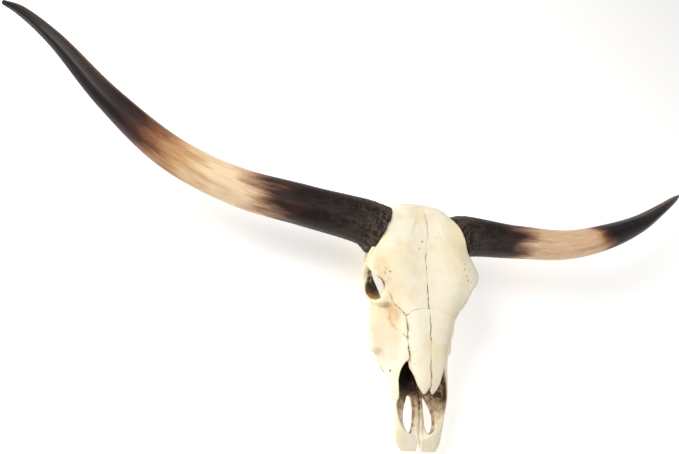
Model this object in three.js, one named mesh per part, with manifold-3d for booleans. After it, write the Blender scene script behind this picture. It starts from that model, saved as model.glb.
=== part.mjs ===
// Longhorn steer skull: a bone skull without its lower jaw, and the two horn sheaths.
// Millimetres, +Z up. The skull lies face up: +X is the animal's left, the muzzle points to -Y
// and the poll to +Y. Inside this file lengths along Y are counted from the poll's plane, and
// the group moves everything so that the origin lies under the middle of the whole outline.
import * as THREE from "three";
import { mergeVertices } from "three/addons/utils/BufferGeometryUtils.js";
import Module from "manifold-3d";

const wasm = await Module();
wasm.setup();

// Driving dimensions.
const ORIGIN_X = 11.95; // from the skull's middle plane to the origin
const ORIGIN_Y = 92.54; // from the poll's plane to the origin
const SUTURE_GAP = 0.3; // between neighbouring bones
const MUZZLE_Y = -507; // foremost point of the premaxillae
const FAR = 1200; // reach of a prism that cuts right through

const HORN_RIM_SLANT = THREE.MathUtils.degToRad(21.5); // the rim faces outwards and forwards
const HORN_CORE_INSET = 3; // the bony neck is this much thinner than the sheath's rim
const HORN_NECK_ROOT = [34, -64, 132]; // the left neck's end inside the forehead
const HORN_NECK_FLARE = 0.14; // how much wider the neck is at that end
const HORN_SIDES = 12;
const HORN_RINGS = 18;

const ORBIT_RIM_HALF = 6.8; // half thickness of the orbit's raised edge
const ORBIT_RIM_DEPTH = 10.5; // half depth of that edge, towards the middle of the skull

// The left orbit's hollow: the socket, its mouth, the pit below and behind it, and the bay in the
// edge of the forehead. The floor is a ledge on the inner side of the cheek bone.
const ORBIT_HOLLOWS = [
  { centre: [98, -181, 123], radii: [54, 33, 33] },
  { centre: [126, -183, 123], radii: [36, 33.5, 32] },
  { centre: [74, -164, 82], radii: [27, 40, 42] },
  { centre: [118, -196, 141], radii: [24, 18, 30] },
];
const ORBIT_FLOOR = { centre: [90, -179, 84], radii: [16, 31, 12] };
const SPINAL_HOLE = { centre: [0, 2, 86], radii: [19, 30, 17] };

// The last premolar and the three molars of the left side, front to back.
const TEETH = [
  { x: 40, y: -322, length: 19, width: 18, turn: 20 },
  { x: 47, y: -301, length: 24, width: 22, turn: 14 },
  { x: 53.5, y: -275, length: 27, width: 24, turn: 6 },
  { x: 55, y: -247, length: 27, width: 23, turn: 0 },
];
const TOOTH_ROOT_Z = 26;
const TOOTH_GAP = 1.2;


// Cross-sections of the skull, from the poll to the muzzle. Each row gives y at the top and at
// the bottom, then half of the outline as [x, z]: crown, edge of the roof, shoulder, cheek,
// lower flank, lower edge and keel.
const SKULL_SECTIONS = [
  [5, -17, [0, 165], [30, 163], [50, 150], [56, 118], [50, 88], [36, 64], [0, 62]],
  [-9, -27, [0, 180], [42, 178], [66, 163], [68, 128], [60, 90], [40, 56], [0, 54]],
  [-45, -45, [0, 185.5], [56, 186], [84, 173], [76, 138], [56, 94], [34, 52], [0, 47]],
  [-90, -90, [0, 183], [64, 185], [100, 171], [80, 148], [52, 102], [28, 56], [0, 50]],
  [-125, -125, [0, 181], [72, 184], [121, 161], [92, 146], [46, 108], [25, 50], [0, 48]],
  [-155, -155, [0, 178], [80, 181], [134, 156], [102, 140], [44, 114], [26, 28], [0, 30]],
  [-185, -185, [0, 174.5], [71, 177], [116, 162], [92, 145], [42, 114], [27, 22], [0, 24]],
  [-212, -212, [0, 172], [60, 173], [94, 153], [101, 113], [62, 84], [33, 20], [0, 22]],
  [-236, -236, [0, 169], [52, 167], [82, 145], [97, 95], [74, 38], [48, 18], [0, 30]],
  [-264, -264, [0, 163], [45, 159], [71, 132], [94, 74], [75, 28], [48, 17], [0, 34]],
  [-297, -297, [0, 154], [38, 149], [61, 120], [89, 52], [70, 25], [45, 15], [0, 35]],
  [-331, -331, [0, 144], [34, 138], [52, 112], [78, 68], [57, 27], [38, 16], [0, 35]],
  [-363, -363, [0, 134], [30, 128], [46, 106], [68, 79], [46, 38], [31, 28], [0, 43]],
  [-396, -396, [0, 122], [26, 116], [53, 96], [63, 78], [50, 52], [35, 42], [0, 49]],
  [-430, -430, [0, 88], [30, 87], [52, 79], [59, 66], [50, 53], [36, 46], [0, 51]],
  [-465, -465, [0, 70], [28, 69], [46, 64], [54, 56], [49, 48], [34, 43], [0, 47]],
  [-494, -492, [0, 53], [23, 52], [40, 50], [48, 45], [44, 39], [27, 36], [0, 38]],
  [MUZZLE_Y, -505, [0, 45], [20, 45], [34, 44], [39, 42], [35, 39], [20, 37.5], [0, 38]],
];

// The nasal cavity, by the same seven points. It is open to the front and ends blind.
const CAVITY_SECTIONS = [
  [-291, -291, [0, 112], [11, 110], [19, 97], [23, 84], [17, 72], [8, 65], [0, 64]],
  [-325, -325, [0, 136], [22, 130], [36, 106], [49, 78], [38, 58], [20, 51], [0, 50]],
  [-362, -362, [0, 126], [24, 120], [40, 98], [57, 80], [42, 60], [22, 56], [0, 55]],
  [-396, -396, [0, 114], [20, 109], [47, 96], [57, 80], [46, 64], [24, 60], [0, 59]],
  [-430, -430, [0, 104], [30, 102], [49, 90], [54, 74], [45, 65], [24, 62], [0, 61]],
  [-465, -465, [0, 92], [22, 90], [34, 80], [40, 66], [32, 59], [18, 57], [0, 56]],
  [-482, -482, [0, 70], [5, 69], [9, 64], [11, 58], [8, 55], [5, 54], [0, 53]],
];

// The channel between the pterygoid plates, open to the back and below.
const CHOANA_SECTIONS = [
  [-100, -100, [0, 62], [10, 61], [16, 52], [17, 30], [17, 10], [15, -20], [0, -20]],
  [-150, -150, [0, 78], [11, 76], [18, 66], [19, 40], [19, 15], [17, -20], [0, -20]],
  [-205, -205, [0, 84], [12, 82], [20, 70], [21, 44], [21, 15], [19, -20], [0, -20]],
  [-240, -236, [0, 72], [10, 70], [16, 60], [18, 42], [19, 15], [17, -20], [0, -20]],
];

// The horns' middle lines and radii: the mean of both, and by how much the left one departs from
// it, outwards, backwards and downwards in mm, and in thickness as a share of the radius.
const HORN_STATIONS = [
  { x: 92.5, y: -61, z: 134, r: 57.5, out: 0, back: -4, down: 0, spread: 0 },
  { x: 114, y: -46.5, z: 136, r: 50.5, out: 0, back: -1, down: 0, spread: 0.02 },
  { x: 263, y: -35.7, z: 142.2, r: 41.9, out: 0, back: -5.7, down: -3.3, spread: 0.052 },
  { x: 409, y: -21.7, z: 147.2, r: 37.5, out: 0, back: -9.7, down: -4.4, spread: 0.052 },
  { x: 546, y: 20.5, z: 156.4, r: 33.2, out: 0, back: -13, down: -8.6, spread: 0.047 },
  { x: 675, y: 92.3, z: 165.2, r: 24.7, out: 0, back: -26.7, down: -23.9, spread: 0.052 },
  { x: 789, y: 181.2, z: 169.7, r: 15.2, out: 0, back: -46.8, down: -33.9, spread: 0.04 },
  { x: 869, y: 243, z: 152.3, r: 9.4, out: 7.5, back: -52.5, down: -36.5, spread: 0.09 },
  { x: 908.6, y: 268.4, z: 140.2, r: 3.8, out: 12.7, back: -49.3, down: -37.2, spread: 0.33 },
];

// The raised edge round the left orbit, starting at the top and going forwards.
const ORBIT_RIM = [
  [104, -184, 162],
  [92, -213, 152],
  [93, -221, 129],
  [101, -212, 104],
  [110, -186, 87],
  [114, -156, 91],
  [121, -142, 119],
  [124, -153, 149],
];

function solid(geometry) {
  const bare = geometry.index ? geometry.toNonIndexed() : geometry.clone();
  bare.deleteAttribute("normal");
  bare.deleteAttribute("uv");
  const merged = mergeVertices(bare, 1e-4);
  return new wasm.Manifold(
    new wasm.Mesh({
      numProp: 3,
      vertProperties: merged.attributes.position.array,
      triVerts: new Uint32Array(merged.index.array),
    }),
  );
}

function surface(points, faces) {
  const geometry = new THREE.BufferGeometry();
  geometry.setAttribute("position", new THREE.Float32BufferAttribute(points.flat(), 3));
  geometry.setIndex(faces.flat());
  const made = solid(geometry);
  return made.volume() < 0 ? solid(flipped(points, faces)) : made;
}

function flipped(points, faces) {
  const geometry = new THREE.BufferGeometry();
  geometry.setAttribute("position", new THREE.Float32BufferAttribute(points.flat(), 3));
  geometry.setIndex(faces.map(([a, b, c]) => [a, c, b]).flat());
  return geometry;
}

// A skin over rings of equal length, closed at both ends by fans or joined end to end.
function loft(rings, joined = false) {
  const sides = rings[0].length;
  const points = rings.flat();
  const faces = [];
  const spans = joined ? rings.length : rings.length - 1;
  for (let i = 0; i < spans; i++) {
    const next = (i + 1) % rings.length;
    for (let j = 0; j < sides; j++) {
      const k = (j + 1) % sides;
      faces.push([i * sides + j, next * sides + j, next * sides + k]);
      faces.push([i * sides + j, next * sides + k, i * sides + k]);
    }
  }
  if (!joined) {
    [0, rings.length - 1].forEach((ring) => {
      const middle = rings[ring]
        .reduce((sum, p) => sum.map((s, axis) => s + p[axis]), [0, 0, 0])
        .map((s) => s / sides);
      points.push(middle);
      for (let j = 0; j < sides; j++) {
        const edge = [ring * sides + j, ring * sides + ((j + 1) % sides)];
        faces.push([points.length - 1, ...(ring ? edge.reverse() : edge)]);
      }
    });
  }
  return surface(points, faces);
}

// A loft through rows of sections. Both the outline and the run from row to row are smooth.
function throughSections(rows, perSpan, sides) {
  const outlines = rows.map(([top, low, ...half]) => {
    const high = half[0][1];
    const drop = high - half[half.length - 1][1];
    const at = ([x, z]) => [x, top + ((low - top) * (high - z)) / drop, z];
    const left = half.map(at);
    const right = half.slice(1, -1).reverse().map(([x, z]) => [-x, at([x, z])[1], z]);
    return [...left, ...right];
  });
  const steps = (rows.length - 1) * perSpan;
  const tracks = outlines[0].map(
    (_, j) => new THREE.CatmullRomCurve3(outlines.map((o) => new THREE.Vector3(...o[j])), false),
  );
  const rings = [];
  for (let i = 0; i <= steps; i++) {
    const knots = tracks.map((track) => track.getPoint(i / steps));
    const outline = new THREE.CatmullRomCurve3(knots, true);
    const ring = [];
    for (let j = 0; j < sides; j++) ring.push(outline.getPoint(j / sides).toArray());
    rings.push(ring);
  }
  return loft(rings);
}

// A bar of oval section along a smooth path; across and high are half sizes at each knot.
function bar(knots, across, high, sides, steps, joined = false) {
  const path = new THREE.CatmullRomCurve3(knots.map((k) => new THREE.Vector3(...k)), joined);
  const sizes = (list, t) => {
    const place = t * (list.length - 1);
    const low = Math.min(Math.floor(place), list.length - 2);
    return THREE.MathUtils.lerp(list[low], list[low + 1], place - low);
  };
  const rings = [];
  const count = joined ? steps : steps + 1;
  for (let i = 0; i < count; i++) {
    const t = i / steps;
    const centre = path.getPoint(t);
    const along = path.getTangent(t);
    const steep = Math.abs(along.z) > 0.8;
    const hint = steep ? new THREE.Vector3(0, 1, 0) : new THREE.Vector3(0, 0, 1);
    const side = new THREE.Vector3().crossVectors(along, hint).normalize();
    const up = new THREE.Vector3().crossVectors(side, along);
    const ring = [];
    for (let j = 0; j < sides; j++) {
      const angle = (j / sides) * 2 * Math.PI;
      const point = centre
        .clone()
        .addScaledVector(side, Math.cos(angle) * sizes(across, t))
        .addScaledVector(up, Math.sin(angle) * sizes(high, t));
      ring.push(point.toArray());
    }
    rings.push(ring);
  }
  return loft(rings, joined);
}

// A closed tube whose rings face the middle of the loop it follows.
function rimTube(knots, half, depth, sides, steps) {
  const path = new THREE.CatmullRomCurve3(knots.map((k) => new THREE.Vector3(...k)), true);
  const middle = knots
    .reduce((sum, k) => sum.add(new THREE.Vector3(...k)), new THREE.Vector3())
    .divideScalar(knots.length);
  const rings = [];
  for (let i = 0; i < steps; i++) {
    const centre = path.getPoint(i / steps);
    const along = path.getTangent(i / steps);
    const inward = middle.clone().sub(centre);
    const side = inward.addScaledVector(along, -inward.dot(along)).normalize();
    const ring = [];
    for (let j = 0; j < sides; j++) {
      const angle = (j / sides) * 2 * Math.PI;
      const point = centre.clone().addScaledVector(side, Math.cos(angle) * half);
      point.x += Math.sin(angle) * depth - depth / 2;
      ring.push(point.toArray());
    }
    rings.push(ring);
  }
  return loft(rings, true);
}

const NO_TURN = [0, 0, 0];

function ellipsoid(centre, radii, turn = NO_TURN, detail = 10) {
  const geometry = new THREE.SphereGeometry(1, detail, Math.round(detail * 0.6));
  geometry.scale(...radii);
  geometry.applyMatrix4(new THREE.Matrix4().makeRotationFromEuler(new THREE.Euler(...turn)));
  geometry.translate(...centre);
  return solid(geometry);
}

// A closed outline moved outwards by a distance.
function grown(outline, distance) {
  const area = THREE.ShapeUtils.area(outline.map(([a, b]) => new THREE.Vector2(a, b)));
  const round = area > 0 ? outline : [...outline].reverse();
  return round.map((point, i) => {
    const before = round[(i + round.length - 1) % round.length];
    const after = round[(i + 1) % round.length];
    const one = new THREE.Vector2(point[1] - before[1], before[0] - point[0]).normalize();
    const two = new THREE.Vector2(after[1] - point[1], point[0] - after[0]).normalize();
    const corner = one.clone().add(two);
    corner.multiplyScalar(distance / (1 + one.dot(two)));
    return [point[0] + corner.x, point[1] + corner.y];
  });
}

// A prism over an outline in the XY plane, between two heights.
function plan(outline, low, high, extra = 0) {
  const shape = new THREE.Shape(grown(outline, extra).map(([x, y]) => new THREE.Vector2(x, y)));
  const geometry = new THREE.ExtrudeGeometry(shape, {
    depth: high - low + 2 * extra,
    bevelEnabled: false,
  });
  geometry.translate(0, 0, low - extra);
  return solid(geometry);
}

// A prism over an outline in the YZ plane, between two values of X.
function profile(outline, from, to, extra = 0) {
  const shape = new THREE.Shape(grown(outline, extra).map(([y, z]) => new THREE.Vector2(y, z)));
  const geometry = new THREE.ExtrudeGeometry(shape, {
    depth: to - from + 2 * extra,
    bevelEnabled: false,
  });
  const turn = new THREE.Matrix4().makeBasis(
    new THREE.Vector3(0, 1, 0),
    new THREE.Vector3(0, 0, 1),
    new THREE.Vector3(1, 0, 0),
  );
  geometry.applyMatrix4(turn);
  geometry.translate(from - extra, 0, 0);
  return solid(geometry);
}

function mirrored(made) {
  return made.scale([-1, 1, 1]);
}

function pair(made) {
  return made.add(mirrored(made));
}

function hornStations(side) {
  // side is 1 for the left horn and -1 for the right one
  return HORN_STATIONS.map(({ x, y, z, r, out, back, down, spread }) => ({
    centre: new THREE.Vector3(side * x + out, y + side * back, z + side * down),
    radius: r * (1 - side * spread),
  }));
}

// A horn sheath: round rings along its middle line, the first of them in the slanted rim plane.
function horn(side, extra = 0) {
  const stations = hornStations(side);
  const path = new THREE.CatmullRomCurve3(stations.map((s) => s.centre), false);
  const last = stations.length - 1;
  const rimAcross = new THREE.Vector3(
    -side * Math.sin(HORN_RIM_SLANT),
    Math.cos(HORN_RIM_SLANT),
    0,
  );
  const up = new THREE.Vector3(0, 0, 1);
  const rings = [];
  for (let i = 0; i <= HORN_RINGS; i++) {
    const t = i / HORN_RINGS;
    const centre = path.getPoint(t);
    const along = path.getTangent(t);
    const blend = Math.max(0, 1 - t * last * 0.8);
    const square = new THREE.Vector3().crossVectors(up, along).normalize().multiplyScalar(side);
    const across = square.lerp(rimAcross, blend).normalize();
    const high = new THREE.Vector3().crossVectors(along, square).normalize();
    high.multiplyScalar(Math.sign(high.z));
    const low = Math.min(Math.floor(t * last), last - 1);
    const share = t * last - low;
    const radius =
      THREE.MathUtils.lerp(stations[low].radius, stations[low + 1].radius, share) + extra;
    if (i === 0 && extra) centre.addScaledVector(along, -extra);
    const ring = [];
    for (let j = 0; j < HORN_SIDES; j++) {
      const angle = (j / HORN_SIDES) * 2 * Math.PI;
      const point = centre
        .clone()
        .addScaledVector(across, Math.cos(angle) * radius)
        .addScaledVector(high, Math.sin(angle) * radius);
      ring.push(point.toArray());
    }
    rings.push(ring);
  }
  return loft(rings);
}

// The bony root on which a sheath sits, from inside the forehead to the sheath's rim.
function hornNeck(side) {
  const stations = hornStations(side);
  const root = stations[0];
  const radius = root.radius - HORN_CORE_INSET;
  const across = new THREE.Vector3(-side * Math.sin(HORN_RIM_SLANT), Math.cos(HORN_RIM_SLANT), 0);
  const [rootX, rootY, rootZ] = HORN_NECK_ROOT;
  const inner = new THREE.Vector3(side * rootX, rootY, rootZ);
  const rings = [0, 0.5, 0.8, 1].map((t) => {
    const centre = inner.clone().lerp(root.centre, t);
    const width = radius * (1 + HORN_NECK_FLARE * (1 - t));
    const ring = [];
    for (let j = 0; j < HORN_SIDES; j++) {
      const angle = (j / HORN_SIDES) * 2 * Math.PI;
      const point = centre.clone().addScaledVector(across, Math.cos(angle) * width);
      point.z += Math.sin(angle) * radius;
      ring.push(point.toArray());
    }
    return ring;
  });
  return loft(rings);
}

function zygomaticArch() {
  const knots = [
    [105, -160, 88],
    [105, -130, 82],
    [99, -98, 80],
    [86, -70, 84],
    [66, -52, 92],
  ];
  return bar(knots, [6, 5, 5, 6, 9], [12, 11, 10, 10, 12], 7, 7);
}

// The broad bar behind the orbit, from the edge of the forehead down to the arch.
function postorbitalBar() {
  const knots = [
    [117, -131, 154],
    [113, -128, 128],
    [105, -134, 104],
    [101, -142, 84],
  ];
  return bar(knots, [8, 7, 6, 6], [20, 15, 12, 10], 7, 4);
}

function occiput() {
  const condyle = ellipsoid([27, -5, 63], [21, 26, 22], [0.2, 0, -0.3], 7);
  const mastoid = bar(
    [
      [40, -30, 92],
      [72, -34, 84],
      [97, -38, 74],
    ],
    [16, 14, 9],
    [34, 26, 14],
    7,
    4,
  );
  const jugular = bar(
    [
      [68, -28, 74],
      [67, -30, 48],
      [63, -31, 22],
      [60, -30, -4],
    ],
    [17, 13, 9, 6.5],
    [11, 9, 7, 5],
    7,
    4,
  );
  const bulla = ellipsoid([40, -74, 50], [14, 22, 20], NO_TURN, 7);
  const protuberance = ellipsoid([0, -2, 138], [12, 12, 16], NO_TURN, 7);
  return [condyle, mastoid, jugular, bulla].map(pair).concat([protuberance]);
}

function toothOutline(length, width) {
  const half = [length / 2, width / 2];
  return [
    [-half[1], -half[0] * 0.55],
    [-half[1] * 0.6, -half[0]],
    [half[1] * 0.6, -half[0]],
    [half[1], -half[0] * 0.5],
    [half[1], half[0] * 0.5],
    [half[1] * 0.6, half[0]],
    [-half[1] * 0.6, half[0]],
    [-half[1], half[0] * 0.55],
  ];
}

function toothRow() {
  return TEETH.map(({ x, y, length, width, turn }) => {
    const angle = THREE.MathUtils.degToRad(-turn);
    const outline = toothOutline(length - TOOTH_GAP, width).map(([a, b]) => [
      x + a * Math.cos(angle) - b * Math.sin(angle),
      y + a * Math.sin(angle) + b * Math.cos(angle),
    ]);
    return plan(outline, 0, TOOTH_ROOT_Z);
  });
}

// The slot through the palate beside the left palatine process.
function palatalFissure() {
  const outline = [
    [12, -396],
    [20, -397],
    [29, -414],
    [35, -435],
    [35, -456],
    [29, -469],
    [21, -473],
    [15, -462],
    [11, -438],
    [9.5, -410],
  ];
  return plan(outline.reverse(), -10, 90);
}

// The nasal opening seen from above: all that lies between the nasal tips and the side walls.
function nasalOpening() {
  const half = [
    [0, -394],
    [9, -408],
    [16, -400],
    [24, -387],
    [31, -369],
    [36, -354],
    [39, -340],
    [45, -344],
    [53, -363],
    [56, -384],
    [54, -410],
    [49, -436],
    [38, -462],
    [20, -479],
    [0, -484],
  ];
  const other = half.slice(1, -1).reverse().map(([x, y]) => [-x, y]);
  return plan([...half, ...other], 70, 200);
}

function incisorNotch() {
  const outline = [
    [0, -467],
    [5.5, -512],
    [-5.5, -512],
  ];
  return plan(outline, 0, 90);
}

function orbitHollow() {
  const hollows = ORBIT_HOLLOWS.map(({ centre, radii }) => ellipsoid(centre, radii, NO_TURN, 10));
  return hollows.reduce((joined, hollow) => joined.add(hollow));
}

function wholeSkull() {
  let skull = throughSections(SKULL_SECTIONS, 2, 16);
  const rim = rimTube(ORBIT_RIM, ORBIT_RIM_HALF, ORBIT_RIM_DEPTH, 7, 14);
  const face = [zygomaticArch(), postorbitalBar(), rim];
  skull = skull.subtract(pair(orbitHollow()));
  skull = skull.add(pair(ellipsoid(ORBIT_FLOOR.centre, ORBIT_FLOOR.radii, NO_TURN, 6)));
  face.forEach((piece) => {
    skull = skull.add(pair(piece));
  });
  skull = skull.add(hornNeck(1)).add(hornNeck(-1));
  occiput().forEach((piece) => {
    skull = skull.add(piece);
  });
  const hollows = [
    throughSections(CAVITY_SECTIONS, 1, 12),
    throughSections(CHOANA_SECTIONS, 1, 12),
    nasalOpening(),
    pair(palatalFissure()),
    incisorNotch(),
    ellipsoid(SPINAL_HOLE.centre, SPINAL_HOLE.radii),
  ];
  hollows.forEach((hollow) => {
    skull = skull.subtract(hollow);
  });
  const palatineRod = bar(
    [
      [5.7, -390, 60],
      [5.7, -430, 59],
      [5.5, -480, 49],
    ],
    [5.2, 5.2, 5],
    [8, 8, 5],
    6,
    4,
  );
  skull = skull.add(pair(palatineRod));
  toothRow().forEach((tooth) => {
    skull = skull.add(pair(tooth));
  });
  [1, -1].forEach((side) => {
    skull = skull.subtract(horn(side, SUTURE_GAP));
  });
  // The tips of the jugular processes are flat where the skull stands on them.
  return skull.subtract(plan(EVERYWHERE, -FAR, 0));
}

// Each bone is what lies inside its region: a plan outline and, across it, a side outline.
const EVERYWHERE = [
  [-FAR, -FAR],
  [FAR, -FAR],
  [FAR, FAR],
  [-FAR, FAR],
];

const REGIONS = {
  nasal: {
    top: [
      [0, -243],
      [20, -245],
      [40, -250],
      [54, -260],
      [48, -286],
      [45, -314],
      [40.5, -338],
      [42, -358],
      [42, -430],
      [0, -430],
    ],
    side: [
      [-200, 300],
      [-200, 162],
      [-300, 136],
      [-364, 112],
      [-440, 90],
      [-440, 300],
    ],
  },
  lacrimal: {
    top: [
      [130, -190],
      [97, -209],
      [79, -235],
      [54, -260],
      [48, -286],
      [49, -310],
      [130, -310],
    ],
    side: [
      [-150, 112],
      [-215, 114],
      [-223, 119],
      [-241, 119],
      [-258, 114],
      [-270, 119],
      [-283, 130],
      [-303, 137],
      [-330, 140],
      [-330, 300],
      [-150, 300],
    ],
  },
  frontal: {
    top: [
      [0, 80],
      [220, 80],
      [220, -190],
      [97, -209],
      [79, -235],
      [54, -260],
      [0, -260],
    ],
    side: [
      [80, 140],
      [-60, 140],
      [-100, 134],
      [-130, 120],
      [-215, 120],
      [-215, 132],
      [-300, 128],
      [-300, 300],
      [80, 300],
    ],
  },
  premaxilla: {
    top: [
      [0, -380],
      [24, -380],
      [30, -340],
      [120, -340],
      [120, -560],
      [0, -560],
    ],
    side: [
      [-351, 140],
      [-372, 96],
      [-388, 66],
      [-392, -40],
      [-600, -40],
      [-600, 140],
    ],
  },
  zygomatic: {
    top: [
      [62, -282],
      [72, -222],
      [70, -204],
      [64, -196],
      [64, -130],
      [88, -120],
      [200, -104],
      [200, -282],
    ],
    side: [
      [-104, 140],
      [-112, 40],
      [-236, 40],
      [-262, 60],
      [-276, 82],
      [-262, 104],
      [-230, 140],
    ],
  },
  maxilla: {
    top: [
      [0, -231],
      [44, -231],
      [48, -222],
      [160, -222],
      [160, -560],
      [0, -560],
    ],
    side: EVERYWHERE,
  },
  temporal: {
    top: [
      [44, -46],
      [30, -58],
      [30, -96],
      [48, -118],
      [160, -124],
      [160, -46],
    ],
    side: EVERYWHERE,
  },
  occipital: {
    top: [
      [-160, -80],
      [160, -80],
      [160, 120],
      [-160, 120],
    ],
    side: EVERYWHERE,
  },
};

function region({ top, side }, extra, flip = false) {
  const made = plan(top, -FAR, FAR, extra).intersect(profile(side, -FAR, FAR, extra));
  return flip ? mirrored(made) : made;
}

function largest(made) {
  return made.decompose().reduce((best, body) => (body.volume() > best.volume() ? body : best));
}

function skullBones() {
  const half = SUTURE_GAP / 2;
  const bones = {};
  let rest = wholeSkull();
  const claim = (name, bone, flip) => {
    bones[name] = largest(rest.intersect(region(REGIONS[bone], -half, flip)));
    rest = rest.subtract(region(REGIONS[bone], half, flip));
  };
  ["nasal", "lacrimal", "frontal", "premaxilla", "zygomatic", "maxilla", "temporal"].forEach(
    (bone) => {
      claim(bone + "_left", bone, false);
      claim(bone + "_right", bone, true);
    },
  );
  claim("occipital", "occipital", false);
  bones.sphenoid = largest(rest);
  return bones;
}

const BONE_COLOUR = 0xf3e8cf;
const HORN_COLOUR = 0x3a302b;

function mesh(name, made, material) {
  const { numProp, vertProperties, triVerts } = made.getMesh();
  const positions = new Float32Array((vertProperties.length / numProp) * 3);
  for (let i = 0; i * numProp < vertProperties.length; i++) {
    positions.set(vertProperties.subarray(i * numProp, i * numProp + 3), i * 3);
  }
  const geometry = new THREE.BufferGeometry();
  geometry.setAttribute("position", new THREE.BufferAttribute(positions, 3));
  geometry.setIndex(new THREE.BufferAttribute(triVerts, 1));
  geometry.computeVertexNormals();
  const piece = new THREE.Mesh(geometry, material);
  piece.name = name;
  return piece;
}

const bone = new THREE.MeshStandardMaterial({ color: BONE_COLOUR, roughness: 0.7, metalness: 0 });
const sheath = new THREE.MeshStandardMaterial({ color: HORN_COLOUR, roughness: 0.3, metalness: 0 });

const skull = new THREE.Group();
skull.position.set(-ORIGIN_X, ORIGIN_Y, 0);
Object.entries(skullBones()).forEach(([name, made]) => {
  skull.add(mesh(name, made, bone));
});
skull.add(mesh("horn_left", horn(1), sheath));
skull.add(mesh("horn_right", horn(-1), sheath));

export default skull;
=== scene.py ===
"""Longhorn steer skull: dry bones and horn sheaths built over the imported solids."""

import functools
import math

import bpy
import numpy as np
import openvdb
from mathutils import Matrix, Vector


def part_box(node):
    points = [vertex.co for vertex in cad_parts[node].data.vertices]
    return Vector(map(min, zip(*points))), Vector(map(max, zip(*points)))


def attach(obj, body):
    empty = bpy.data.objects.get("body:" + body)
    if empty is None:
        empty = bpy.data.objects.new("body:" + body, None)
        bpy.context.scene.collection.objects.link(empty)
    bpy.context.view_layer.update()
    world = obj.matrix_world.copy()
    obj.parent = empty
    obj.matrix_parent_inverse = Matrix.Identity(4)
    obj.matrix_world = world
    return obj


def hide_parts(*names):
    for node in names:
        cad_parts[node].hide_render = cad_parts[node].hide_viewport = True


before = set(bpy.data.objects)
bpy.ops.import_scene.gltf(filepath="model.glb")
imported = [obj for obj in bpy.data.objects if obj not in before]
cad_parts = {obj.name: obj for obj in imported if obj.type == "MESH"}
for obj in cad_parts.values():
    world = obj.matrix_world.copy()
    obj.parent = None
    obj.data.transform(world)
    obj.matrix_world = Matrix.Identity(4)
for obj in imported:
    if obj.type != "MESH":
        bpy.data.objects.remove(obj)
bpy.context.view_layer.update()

bl_info = {
    "name": "Longhorn Steer Skull",
    "version": (1, 0, 0),
    "blender": (4, 5, 0),
    "location": "View3D > Sidebar > Skull",
    "description": "Builds a life-size longhorn steer skull over its packed solids",
    "category": "Add Mesh",
}

# Inside this file the skull is measured in millimetres, with y counted from the poll's plane.
# +X is the animal's left, the muzzle points to -Y and +Z is up.
MM = 0.001
MUZZLE_Y = -507
POLL_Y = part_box("premaxilla_left")[0].y / MM - MUZZLE_Y
MIDLINE_X = (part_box("nasal_left")[1].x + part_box("nasal_right")[0].x) / 2 / MM
VOXEL = 1.3
CLOSENESS_REACH = 7  # mm over which the bone round a point is counted
BAND = 14  # voxels on each side of a surface that the distance field knows

# Cross-sections from the poll to the muzzle. Each row gives y at the top and at the bottom, then
# half of the outline as (x, z): crown, edge of the roof, shoulder, cheek, lower flank, lower
# edge and keel.
SKULL_SECTIONS = [
    (5, -17, (0, 165), (30, 163), (50, 150), (56, 118), (50, 88), (36, 64), (0, 62)),
    (-9, -27, (0, 180), (42, 178), (66, 163), (68, 128), (60, 90), (40, 56), (0, 54)),
    (-45, -45, (0, 185.5), (56, 186), (84, 173), (76, 138), (56, 94), (34, 52), (0, 47)),
    (-90, -90, (0, 183), (64, 185), (100, 171), (80, 148), (52, 102), (28, 56), (0, 50)),
    (-125, -125, (0, 181), (72, 184), (121, 161), (92, 146), (46, 108), (25, 50), (0, 48)),
    (-155, -155, (0, 178), (80, 181), (134, 156), (102, 140), (44, 114), (26, 28), (0, 30)),
    (-185, -185, (0, 174.5), (71, 177), (116, 162), (92, 145), (42, 114), (27, 22), (0, 24)),
    (-212, -212, (0, 172), (60, 173), (94, 153), (101, 113), (62, 84), (33, 20), (0, 22)),
    (-236, -236, (0, 169), (52, 167), (82, 145), (97, 95), (74, 38), (48, 18), (0, 30)),
    (-264, -264, (0, 163), (45, 159), (71, 132), (94, 74), (75, 28), (48, 17), (0, 34)),
    (-297, -297, (0, 154), (38, 149), (61, 120), (89, 52), (70, 25), (45, 15), (0, 35)),
    (-331, -331, (0, 144), (34, 138), (52, 112), (78, 68), (57, 27), (38, 16), (0, 35)),
    (-363, -363, (0, 134), (30, 128), (46, 106), (68, 79), (46, 38), (31, 28), (0, 43)),
    (-396, -396, (0, 122), (26, 116), (53, 96), (63, 78), (50, 52), (35, 42), (0, 49)),
    (-430, -430, (0, 88), (30, 87), (52, 79), (59, 66), (50, 53), (36, 46), (0, 51)),
    (-465, -465, (0, 70), (28, 69), (46, 64), (54, 56), (49, 48), (34, 43), (0, 47)),
    (-494, -492, (0, 53), (23, 52), (40, 50), (48, 45), (44, 39), (27, 36), (0, 38)),
    (MUZZLE_Y, -505, (0, 45), (20, 45), (34, 44), (39, 42), (35, 39), (20, 37.5), (0, 38)),
]
CAVITY_SECTIONS = [
    (-291, -291, (0, 112), (11, 110), (19, 97), (23, 84), (17, 72), (8, 65), (0, 64)),
    (-325, -325, (0, 136), (22, 130), (36, 106), (49, 78), (38, 58), (20, 51), (0, 50)),
    (-362, -362, (0, 126), (24, 120), (40, 98), (57, 80), (42, 60), (22, 56), (0, 55)),
    (-396, -396, (0, 114), (20, 109), (47, 96), (57, 80), (46, 64), (24, 60), (0, 59)),
    (-430, -430, (0, 104), (30, 102), (49, 90), (54, 74), (45, 65), (24, 62), (0, 61)),
    (-465, -465, (0, 92), (22, 90), (34, 80), (40, 66), (32, 59), (18, 57), (0, 56)),
    (-482, -482, (0, 70), (5, 69), (9, 64), (11, 58), (8, 55), (5, 54), (0, 53)),
]
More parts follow.
